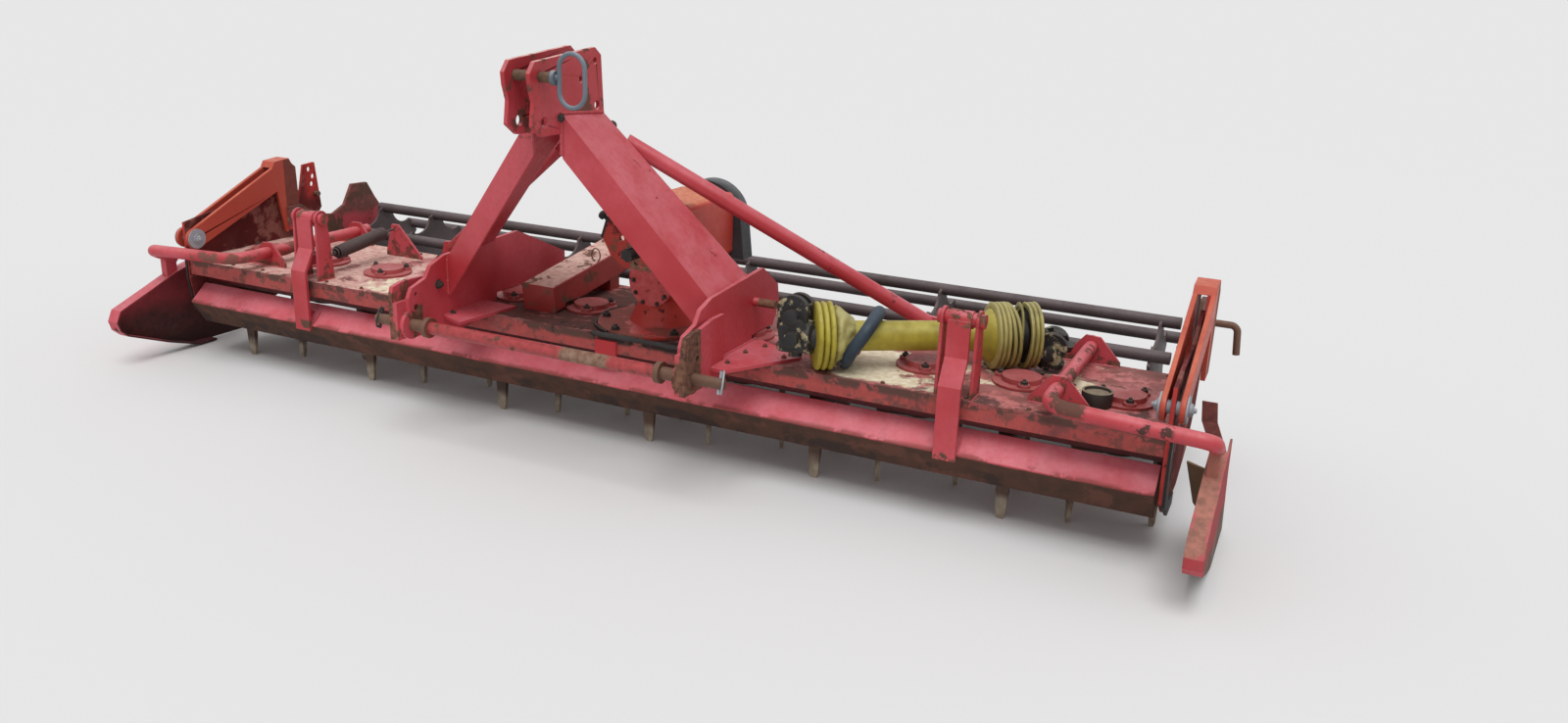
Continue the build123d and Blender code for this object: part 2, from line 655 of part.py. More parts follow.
discs = []
for x in rollerDiscs:
    disc = rodX(x - rollerDiscThick / 2, x + rollerDiscThick / 2, 0, 0, tubeRing - 2)
    for n in range(rollerTubes):
        y, z = spoke(n)
        wy, wz = spoke(n + 0.5)
        disc -= rodX(x - 9, x + 9, wy * 1.12, wz * 1.12, 60)
        disc += rodX(x - rollerDiscThick / 2, x + rollerDiscThick / 2, y * 0.93, z * 0.93, rollerTubeR + 6)
    for n in range(rollerTubes):
        y, z = spoke(n)
        disc -= rodX(x - 9, x + 9, y, z, rollerTubeR)
    disc -= rodX(x - 9, x + 9, 0, 0, rollerShaftR)
    discs.append(rollerAt * disc)
keep("roller_discs", discs)

stubEnd = armInner - 1
roller = rodX(-rollerHalf, rollerHalf, rollerY, rollerZ, rollerShaftR)
roller += rodX(-stubEnd, stubEnd, rollerY, rollerZ, rollerStubR)
keep("roller_shaft", roller)

# Side shields: a plate with its rim turned in, and the cranked tube that carries it
rimLine = [(-60, 4), (-128, 4), (-240, 40), (-380, 96), (-405, 118), (-414, 148), (-397, 182), (-297, 220),
           (-185, 264), (-117, 281), (-70, 298)]
shieldLine = rimLine + [(-30, 200), (60, 70), (105, 4)]
flapSteps = [(-118, 277, 34), (-101, 340, 34), (-104, 386, 33)]
flapMiddle = (1607.0, 1576.0, 1571.0)


def shield(last):
    """Plate and rim, the rim as far as the given point of its line."""
    flat = sheetYZ(shieldLine, shieldX - shieldThick, shieldX)
    line = rimLine[:len(rimLine) + last]
    return flat + sheetYZ(bent(line, shieldThick), shieldX - shieldThick - shieldRim, shieldX - shieldThick)


# The right shield's rim ends in a flap that is bent up and inwards
rightShield = shield(-1)
slices = [Plane.XY.offset(z) * Pos(x, y) * Rectangle(wide, shieldThick)
          for x, (y, z, wide) in zip(flapMiddle, flapSteps)]
for low, high in zip(slices, slices[1:]):
    rightShield += loft([low, high], ruled=True)
keep("shield_right", rightShield)
keep("shield_left", mirrored(shield(0)))


def rimHeight(y):
    """Top of the rim under the tube's foot."""
    for (ya, za), (yb, zb) in zip(rimLine[6:], rimLine[7:]):
        if ya <= y <= yb:
            return za + (zb - za) * (y - ya) / (yb - ya)


def shieldTube():
    x = shieldX - shieldThick - shieldRim / 2
    line = FilletPolyline((tubeX, tubeRearY, tubeZ), (tubeX, tubeFrontY, tubeZ), (x, tubeFrontY - 8, tubeZ - 14),
                          (x, -172, 272 + tubeR + 15), radius=[tubeBend, 34.0])
    foot = sheetYZ([(-214, rimHeight(-214)), (-185, rimHeight(-185)), (-176, rimHeight(-176)), (-176, 304),
                    (-214, 316)], x - 12, x + 12)
    return sweep(Plane(origin=line @ 0, z_dir=line % 0) * Circle(tubeR), path=line) + foot


keep("shield_tube_right", shieldTube())
keep("shield_tube_left", mirrored(shieldTube()))

# Drive shaft on the cover: guard tube, ribbed bellows, yokes and a rubber ring
shaftWay = (shaftRight - shaftLeft).normalized()


def bellows(length, ribs):
    """Ribbed cone as a revolved outline about Z, centred on the origin."""
    line = [(0, -length / 2)]
    for n in range(ribs):
        z = -length / 2 + length * n / ribs
        line += [(bellowRoot, z), (bellowR, z + length * 0.3 / ribs), (bellowR, z + length * 0.7 / ribs)]
    line += [(bellowRoot, length / 2), (0, length / 2)]
    return revolve(Plane.XZ * make_face(Polyline(*line, close=True)), Axis.Z)


leftLong, rightLong = 56.0, 122.0
leftBack = 20.0
leftPlane = Plane(origin=shaftLeft - shaftWay * leftBack, z_dir=shaftWay)
rightPlane = Plane(origin=shaftRight, z_dir=shaftWay)
guardTube = rod(shaftLeft, shaftRight, shaftTubeR)
guardTube += leftPlane * bellows(leftLong, 3) + rightPlane * bellows(rightLong, 5)
guardTube += rightPlane * Pos(0, 0, -rightLong / 2) * Rot(180, 0, 0) * Cone(bellowRoot, shaftTubeR, 30, align=up)
keep("shaft_guard", guardTube)


def yoke(length):
    """Universal joint half along Z: hub, two eyes and the cross."""
    hub = Cylinder(yokeR, length, align=up)
    hub += Pos(0, 0, length) * Cylinder(44, 12, align=up)
    for side in (-1, 1):
        eye = Pos(side * 36, 0, length + 12) * (Box(13, 62, 34, align=up) + Pos(0, 0, 34) * Rot(0, 90, 0)
                                                * Cylinder(31, 13))
        hub += eye
    hub += Pos(0, 0, length + 46) * Rot(0, 90, 0) * Cylinder(15, 60)
    hub += Pos(0, 0, length + 46) * Rot(90, 0, 0) * Cylinder(15, 96)
    return hub


yokeLeftWay = Vector(-1.0, -0.12, -0.10).normalized()
yokeRightWay = Vector(1.0, 0.12, -0.30).normalized()
yokes = [Plane(origin=shaftLeft - shaftWay * (leftBack + leftLong / 2 + 13.6), z_dir=yokeLeftWay)
         * Rot(0, 0, 90) * yoke(30),
         Plane(origin=shaftRight + shaftWay * (rightLong / 2 + 15.5), z_dir=yokeRightWay)
         * Rot(0, 0, 30) * yoke(14)]
keep("shaft_yokes", yokes)

ringMajor, ringMinor = 75.0, 17.0
ringWay = Vector(0.85, 0.16, -0.5).normalized()
ringSink = shaftZ - deckTop - seat - ringMinor - ringMajor * math.sqrt(1 - ringWay.Z ** 2)
ringPlane = Plane(origin=shaftLeft + shaftWay * 74 - Vector(0, 0, ringSink), z_dir=ringWay)
keep("rubber_ring", ringPlane * Torus(ringMajor, ringMinor))

os.makedirs("parts", exist_ok=True)
for name, shape in nodes.items():
    export_step(shape, f"parts/{name}.step")
print(len(nodes), "nodes, row moved", rowShift)
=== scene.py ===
import json
import math
import random

import bmesh
import bpy
from mathutils import Matrix, Vector, noise


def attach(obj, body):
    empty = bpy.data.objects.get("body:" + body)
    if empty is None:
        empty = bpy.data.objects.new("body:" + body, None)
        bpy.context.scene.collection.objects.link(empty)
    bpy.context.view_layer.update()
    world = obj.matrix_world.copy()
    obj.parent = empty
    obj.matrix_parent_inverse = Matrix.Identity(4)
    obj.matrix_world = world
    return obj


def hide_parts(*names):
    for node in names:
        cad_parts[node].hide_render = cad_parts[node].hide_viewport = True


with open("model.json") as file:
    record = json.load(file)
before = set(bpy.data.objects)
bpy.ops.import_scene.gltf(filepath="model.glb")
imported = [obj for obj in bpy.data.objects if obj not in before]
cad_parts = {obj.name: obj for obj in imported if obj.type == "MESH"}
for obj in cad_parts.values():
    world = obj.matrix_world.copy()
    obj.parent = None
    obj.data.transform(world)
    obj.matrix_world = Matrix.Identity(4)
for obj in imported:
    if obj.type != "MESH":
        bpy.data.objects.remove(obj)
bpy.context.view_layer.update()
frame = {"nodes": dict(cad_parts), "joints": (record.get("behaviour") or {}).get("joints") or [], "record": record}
pivots = {joint["name"]: Vector(joint["pos_m"]) for joint in frame["joints"]}
rowY = pivots["rotor_01_spin"].y      # Y of the rotor row in the frame
scene = bpy.context.scene
print("frame loaded")


def at(x, y, z):
    # millimetres from the middle of the rotor row on the ground, to frame metres
    return Vector((x / 1000, y / 1000 + rowY, z / 1000))


# Camera where the photo was taken from
cameraLook = {"place": (1757.4, -2799.4, 1265.8), "yaw": 24.451, "pitch": 18.032, "roll": 2.222,
              "focalPixels": 1235.0, "frameWide": 1600, "sensorWide": 36.0}
yaw, pitch, roll = (math.radians(cameraLook[k]) for k in ("yaw", "pitch", "roll"))
forward = Vector((-math.sin(yaw) * math.cos(pitch), math.cos(yaw) * math.cos(pitch), -math.sin(pitch)))
level = Vector((math.cos(yaw), math.sin(yaw), 0))
upright = level.cross(forward)
sideways = math.cos(roll) * level + math.sin(roll) * upright
upward = -math.sin(roll) * level + math.cos(roll) * upright
camera = bpy.data.objects.new("camera", bpy.data.cameras.new("camera"))
scene.collection.objects.link(camera)
turn = Matrix((sideways, upward, -forward)).transposed().to_4x4()
camera.matrix_world = Matrix.Translation(at(*cameraLook["place"])) @ turn
camera.data.sensor_width = cameraLook["sensorWide"]
camera.data.lens = cameraLook["focalPixels"] * cameraLook["sensorWide"] / cameraLook["frameWide"]
scene.camera = camera
scene.view_settings.view_transform = "Standard"
print("camera placed")


def addNode(tree, kind, inputs=None, **props):
    made = tree.nodes.new(kind)
    for key, value in props.items():
        setattr(made, key, value)
    for key, value in (inputs or {}).items():
        if isinstance(value, bpy.types.NodeSocket):
            tree.links.new(value, made.inputs[key])
        else:
            made.inputs[key].default_value = value
    return made


def mathNode(tree, operation, a, b):
    return addNode(tree, "ShaderNodeMath", {0: a, 1: b}, operation=operation).outputs[0]


def vectorNode(tree, operation, inputs, out=0):
    return addNode(tree, "ShaderNodeVectorMath", inputs, operation=operation).outputs[out]


def mixColor(tree, share, a, b):
    made = addNode(tree, "ShaderNodeMix", data_type="RGBA", clamp_factor=True)
    for index, value in ((0, share), (6, a), (7, b)):
        if isinstance(value, bpy.types.NodeSocket):
            tree.links.new(value, made.inputs[index])
        elif index == 0:
            made.inputs[index].default_value = value
        else:
            made.inputs[index].default_value = (*value[:3], 1.0)
    return made.outputs[2]


def mixValue(tree, share, a, b):
    made = addNode(tree, "ShaderNodeMix", {0: share, 2: a, 3: b}, data_type="FLOAT", clamp_factor=True)
    return made.outputs[0]


def ramp(tree, value, low, high, toLow=0.0, toHigh=1.0):
    return addNode(tree, "ShaderNodeMapRange", {0: value, 1: low, 2: high, 3: toLow, 4: toHigh},
                   interpolation_type="SMOOTHSTEP").outputs[0]


def speckle(tree, spot, scale, low, high, detail=4.0, rough=0.6, warp=0.0):
    # noise turned into a mask between two levels
    made = addNode(tree, "ShaderNodeTexNoise", {"Vector": spot, "Scale": scale, "Detail": detail,
                                                "Roughness": rough, "Distortion": warp})
    return ramp(tree, made.outputs[0], low, high)


def edgeMask(tree, radius):
    # 1 near a sharp edge, from the difference between rounded and true normals
    rounded = addNode(tree, "ShaderNodeBevel", {"Radius": radius}, samples=4).outputs[0]
    plain = addNode(tree, "ShaderNodeNewGeometry").outputs["Normal"]
    same = vectorNode(tree, "DOT_PRODUCT", {0: rounded, 1: plain}, "Value")
    return ramp(tree, mathNode(tree, "SUBTRACT", 1.0, same), 0.02, 0.25)


def times(tree, a, b):
    # product of two masks; the first may not be there yet
    return b if a is None else mathNode(tree, "MULTIPLY", a, b)


# Noise that makes a patch's border ragged and leaves holes in it
patchLook = {"raggedScale": 16.0, "raggedDetail": 4.0, "soft": 6, "scale": 20.0, "bareLevel": 0.68,
             "coverRange": 0.36, "detail": 7.0, "rough": 0.65, "warp": 0.2}


def boxMask(tree, spot, facing, patch):
    # 1 within a patch's ranges of X, Y, Z and of the facing, with a ragged border and holes by its share
    if "ragged" in patch:
        cloud = addNode(tree, "ShaderNodeTexNoise", {"Vector": spot, "Scale": patchLook["raggedScale"],
                                                     "Detail": patchLook["raggedDetail"]})
        centred = vectorNode(tree, "SUBTRACT", {0: cloud.outputs[1], 1: (0.5, 0.5, 0.5)})
        shift = vectorNode(tree, "SCALE", {0: centred, "Scale": patch["ragged"] / 500})
        spot = vectorNode(tree, "ADD", {0: spot, 1: shift})
    axes = addNode(tree, "ShaderNodeSeparateXYZ", {0: spot}).outputs
    soft = patch.get("soft", patchLook["soft"]) / 1000
    mask = None
    for axis, low, high in patch.get("within", ()):
        start = rowY if axis == 1 else 0.0
        for edge, before, after in ((low, 0.0, 1.0), (high, 1.0, 0.0)):
            border = edge / 1000 + start
            mask = times(tree, mask, ramp(tree, axes[axis], border - soft, border + soft, before, after))
    for axis, low, high in patch.get("facing", ()):
        mask = times(tree, mask, ramp(tree, facing[axis], low, high))
    if "share" in patch:
        cut = patchLook["bareLevel"] - patchLook["coverRange"] * patch["share"]
        cloud = speckle(tree, spot, patch.get("scale", patchLook["scale"]), cut - 0.02, cut + 0.03,
                        patchLook["detail"], patchLook["rough"], patchLook["warp"])
        mask = times(tree, mask, cloud)
    if "strength" in patch:
        mask = times(tree, mask, patch["strength"])
    return mask


# Sizes of the noise that every paint shares, and how dull bare metal and grime are
wearLook = {"chalkAndSheenScale": 9.0, "mottleScale": 70.0, "mottle": 0.22, "streakStretch": (40.0, 40.0, 2.5),
            "speckScale": 150.0, "wornScale": 38.0, "rustScale": 55.0, "chipLevel": 0.74, "dull": 0.86,
            "roughSpread": 0.14, "grain": 60.0, "patchRough": 0.85, "bump": 0.35, "bumpDepth": 0.0012,
            "gloss": 0.35}


def wornSteel(name, look):
    # paint that fades upwards with chalking and a painted highlight on top, under grime, with rust where it is
    # chipped and along its edges
    made = bpy.data.materials.new(name)
    made.use_nodes = True
    tree = made.node_tree
    shader = tree.nodes["Principled BSDF"]
    coords = addNode(tree, "ShaderNodeTexCoord")
    spot = coords.outputs["Object"]
    facing = addNode(tree, "ShaderNodeSeparateXYZ", {0: coords.outputs["Normal"]}).outputs
    # faded paint, chalky with a painted highlight on top, with fine mottling, streaks that run down and grime
    faded = speckle(tree, spot, look["fadeScale"], 0.35, 0.65, 3.0)
    color = mixColor(tree, faded, look["deep"], look["faded"])
    # pale up-facing colour: chalked paint and a painted sky highlight in one
    upper = times(tree, ramp(tree, facing[2], 0.1, 0.95), look["chalkAndSheenShare"])
    chalkAndSheenMask = times(tree, upper, speckle(tree, spot, wearLook["chalkAndSheenScale"], 0.2, 0.7))
    color = mixColor(tree, chalkAndSheenMask, color, look["chalkAndSheen"])
    fine = speckle(tree, spot, wearLook["mottleScale"], 0.3, 0.7, 6.0)
    color = mixColor(tree, times(tree, fine, wearLook["mottle"]), color, look["deep"])
    stretched = addNode(tree, "ShaderNodeMapping", {0: spot, 3: wearLook["streakStretch"]}).outputs[0]
    streaks = times(tree, speckle(tree, stretched, 1.0, 0.52, 0.75, 5.0), look["streaks"])
    color = mixColor(tree, streaks, color, look["dirt"])
    low, high = 1 - look["grime"], 1.05 - look["grime"] / 2
    grime = times(tree, speckle(tree, spot, look["grimeScale"], low, high, 6.0, 0.7), look["grimeDepth"])
    color = mixColor(tree, grime, color, look["dirt"])
    # chips, specks and worn edges show rusty metal
    specks = times(tree, speckle(tree, spot, wearLook["speckScale"], 0.725, 0.755, 3.0, 0.5), look["specks"])
    level = wearLook["chipLevel"] - look["chips"]
    chips = speckle(tree, spot, look["chipScale"], level, level + 0.03, 8.0, 0.62, 0.3)
    edges = speckle(tree, spot, wearLook["wornScale"], 0.40, 0.56, 5.0, 0.7)
    worn = times(tree, edgeMask(tree, look["edge"]), edges)
    bare = mathNode(tree, "MAXIMUM", mathNode(tree, "MAXIMUM", chips, specks), worn)
    rusty = speckle(tree, spot, wearLook["rustScale"], 0.35, 0.65, 6.0)
    color = mixColor(tree, bare, color, mixColor(tree, rusty, look["rust"], look["rustPale"]))
    sheen = mixValue(tree, fine, look["rough"], look["rough"] + wearLook["roughSpread"])
    rough = mixValue(tree, mathNode(tree, "MAXIMUM", bare, grime), sheen, wearLook["dull"])
    for patch in look.get("patches", ()):
        mask = boxMask(tree, spot, facing, patch)
        cloud = speckle(tree, spot, patch.get("grain", wearLook["grain"]), 0.3, 0.7, 6.0)
        tone = mixColor(tree, cloud, patch["color"], patch["other"])
        color = mixColor(tree, mask, color, tone)
        rough = mixValue(tree, mask, rough, patch.get("rough", wearLook["patchRough"]))
    tree.links.new(color, shader.inputs["Base Color"])
    tree.links.new(rough, shader.inputs["Roughness"])
    shader.inputs["Specular IOR Level"].default_value = look.get("gloss", wearLook["gloss"])
    height = mathNode(tree, "SUBTRACT", times(tree, fine, 0.25), bare)
    bump = addNode(tree, "ShaderNodeBump", {"Strength": wearLook["bump"], "Distance": wearLook["bumpDepth"],
                                            "Height": height})
    tree.links.new(bump.outputs[0], shader.inputs["Normal"])
    return made


def area(color, other=None, **place):
    # a patch of dirt, rust or bare metal in one or two colors, with its place in millimetres
    return {"color": color, "other": other or color, **place}


# Paint and steel finishes
rustDark, rustPale, mudBrown = (0.085, 0.032, 0.020), (0.21, 0.10, 0.06), (0.115, 0.055, 0.036)
blackGrease = (0.012, 0.011, 0.011)
# each finish's pale up-facing colour is chalked paint together with a painted highlight
redPaint = {"deep": (0.42, 0.030, 0.038), "faded": (0.56, 0.078, 0.100), "chalkAndSheen": (0.62, 0.17, 0.205),
            "fadeScale": 2.6, "chalkAndSheenShare": 0.85, "grime": 0.38, "grimeScale": 5.0, "grimeDepth": 0.36,
            "dirt": (0.15, 0.055, 0.045), "chips": -0.012, "chipScale": 18.0, "edge": 0.003,
            "specks": 0.55, "streaks": 0.14, "rust": rustDark, "rustPale": rustPale, "rough": 0.40}
castIron = redPaint | {"deep": (0.020, 0.018, 0.018), "faded": (0.040, 0.036, 0.035),
                       "chalkAndSheen": (0.085, 0.078, 0.07), "dirt": (0.07, 0.055, 0.035), "chalkAndSheenShare": 0.5,
                       "streaks": 0.0, "chips": 0.03, "rough": 0.5}
finishes = {
    "body_paint": redPaint,
    "board_paint": redPaint | {"deep": (0.50, 0.055, 0.070), "faded": (0.64, 0.11, 0.135),
                               "chalkAndSheen": (0.70, 0.22, 0.26), "patches": [
        area((0.30, 0.055, 0.05), (0.17, 0.055, 0.04), within=[(2, 180, 192)], soft=4, ragged=6,
             share=0.6, scale=10.0, strength=0.8),
        area((0.092, 0.040, 0.025), (0.060, 0.029, 0.020), within=[(2, 60, 183)], soft=2, ragged=3,
             rough=0.9, grain=26.0),
        area((0.14, 0.052, 0.034), within=[(2, 60, 180)], share=0.30, scale=11.0, strength=0.6),
        area((0.026, 0.017, 0.014), within=[(2, 60, 150)], share=0.34, scale=4.0, strength=0.75)]},
    "trough_paint": redPaint | {"deep": (0.16, 0.02, 0.024), "faded": (0.27, 0.035, 0.042),
                                "chalkAndSheenShare": 0.2, "grime": 0.55, "grimeDepth": 0.6, "chips": 0.06},
    "deck_paint": redPaint | {"deep": (0.17, 0.045, 0.04), "faded": (0.40, 0.085, 0.085),
                              "chalkAndSheen": (0.42, 0.19, 0.17), "fadeScale": 6.0, "chalkAndSheenShare": 0.7,
                              "grime": 0.60, "grimeScale": 8.0, "grimeDepth": 0.75,
                              "dirt": (0.135, 0.062, 0.052), "chips": 0.10, "chipScale": 9.0,
                              "rough": 0.6, "specks": 0.9},
    # the arm paint's peach up-facing colour is a painted highlight on the arms' top flanges, over some chalking
    "arm_paint": redPaint | {"deep": (0.43, 0.055, 0.033), "faded": (0.52, 0.090, 0.055),
                             "chalkAndSheenShare": 0.6, "chalkAndSheen": (0.74, 0.23, 0.13)},
    "gear_paint": redPaint | {"deep": (0.48, 0.040, 0.028), "faded": (0.60, 0.075, 0.050),
                              "chalkAndSheenShare": 0.3, "chips": 0.06, "grime": 0.5},
    "cap_paint": redPaint | {"deep": (0.26, 0.035, 0.033), "faded": (0.45, 0.08, 0.085),
                             "chalkAndSheen": (0.50, 0.17, 0.17), "chips": 0.09, "grime": 0.55,
                             "grimeDepth": 0.6, "edge": 0.005},
    "tine_steel": castIron | {"deep": (0.050, 0.026, 0.018), "faded": (0.115, 0.062, 0.040),
                              "grimeDepth": 0.5, "chalkAndSheen": (0.16, 0.10, 0.07), "patches": [
        area((0.40, 0.34, 0.26), (0.21, 0.15, 0.10), within=[(2, -20, 50)], soft=18, ragged=22, rough=0.5,
             grain=30.0)]},
    "pin_steel": castIron | {"deep": (0.085, 0.038, 0.024), "faded": (0.165, 0.085, 0.055),
                             "dirt": (0.05, 0.03, 0.02), "chalkAndSheen": (0.25, 0.155, 0.105)},
    "roller_steel": castIron | {"deep": (0.065, 0.047, 0.047), "faded": (0.12, 0.088, 0.092),
                                "chalkAndSheenShare": 0.6, "chalkAndSheen": (0.20, 0.165, 0.17),
                                "dirt": (0.09, 0.055, 0.04), "chips": 0.05, "streaks": 0.0},
    "zinc_steel": castIron | {"deep": (0.26, 0.28, 0.31), "faded": (0.40, 0.42, 0.46),
                              "chalkAndSheen": (0.55, 0.56, 0.58), "chips": -0.02, "gloss": 0.6},
    "black_steel": castIron,
    "black_plastic": castIron | {"deep": (0.018, 0.019, 0.022), "faded": (0.05, 0.053, 0.06),
                                 "chalkAndSheen": (0.17, 0.175, 0.185), "chips": -0.1, "specks": 0.0,
                                 "chalkAndSheenShare": 0.8},
    "guard_plastic": castIron | {"deep": (0.26, 0.20, 0.018), "faded": (0.46, 0.39, 0.045),
                                 "chalkAndSheen": (0.58, 0.53, 0.17), "dirt": (0.13, 0.105, 0.035),
                                 "grime": 0.52, "grimeScale": 9.0, "grimeDepth": 0.7, "chips": -0.1,
                                 "specks": 0.35, "fadeScale": 9.0, "rust": (0.07, 0.06, 0.02),
                                 "rustPale": (0.16, 0.13, 0.05), "rough": 0.42, "streaks": 0.15},
    "ring_rubber": castIron | {"deep": (0.012, 0.018, 0.026), "faded": (0.028, 0.045, 0.066),
                               "chalkAndSheen": (0.072, 0.10, 0.135), "chips": -0.1, "chalkAndSheenShare": 0.8},
    "spring_steel": castIron | {"deep": (0.04, 0.026, 0.026), "faded": (0.085, 0.058, 0.056),
                                "chalkAndSheen": (0.15, 0.115, 0.105)},
    "cup_steel": castIron | {"deep": (0.030, 0.022, 0.018), "patches": [
        area((0.27, 0.21, 0.14), (0.16, 0.13, 0.10), within=[(2, 346, 400)], soft=2,
             facing=[(2, 0.4, 0.8)], rough=0.9)]},
}
topFace = [(2, 0.5, 0.9)]
rustTones = (rustDark, rustPale)
creamTones = ((0.86, 0.80, 0.63), (0.66, 0.54, 0.36))
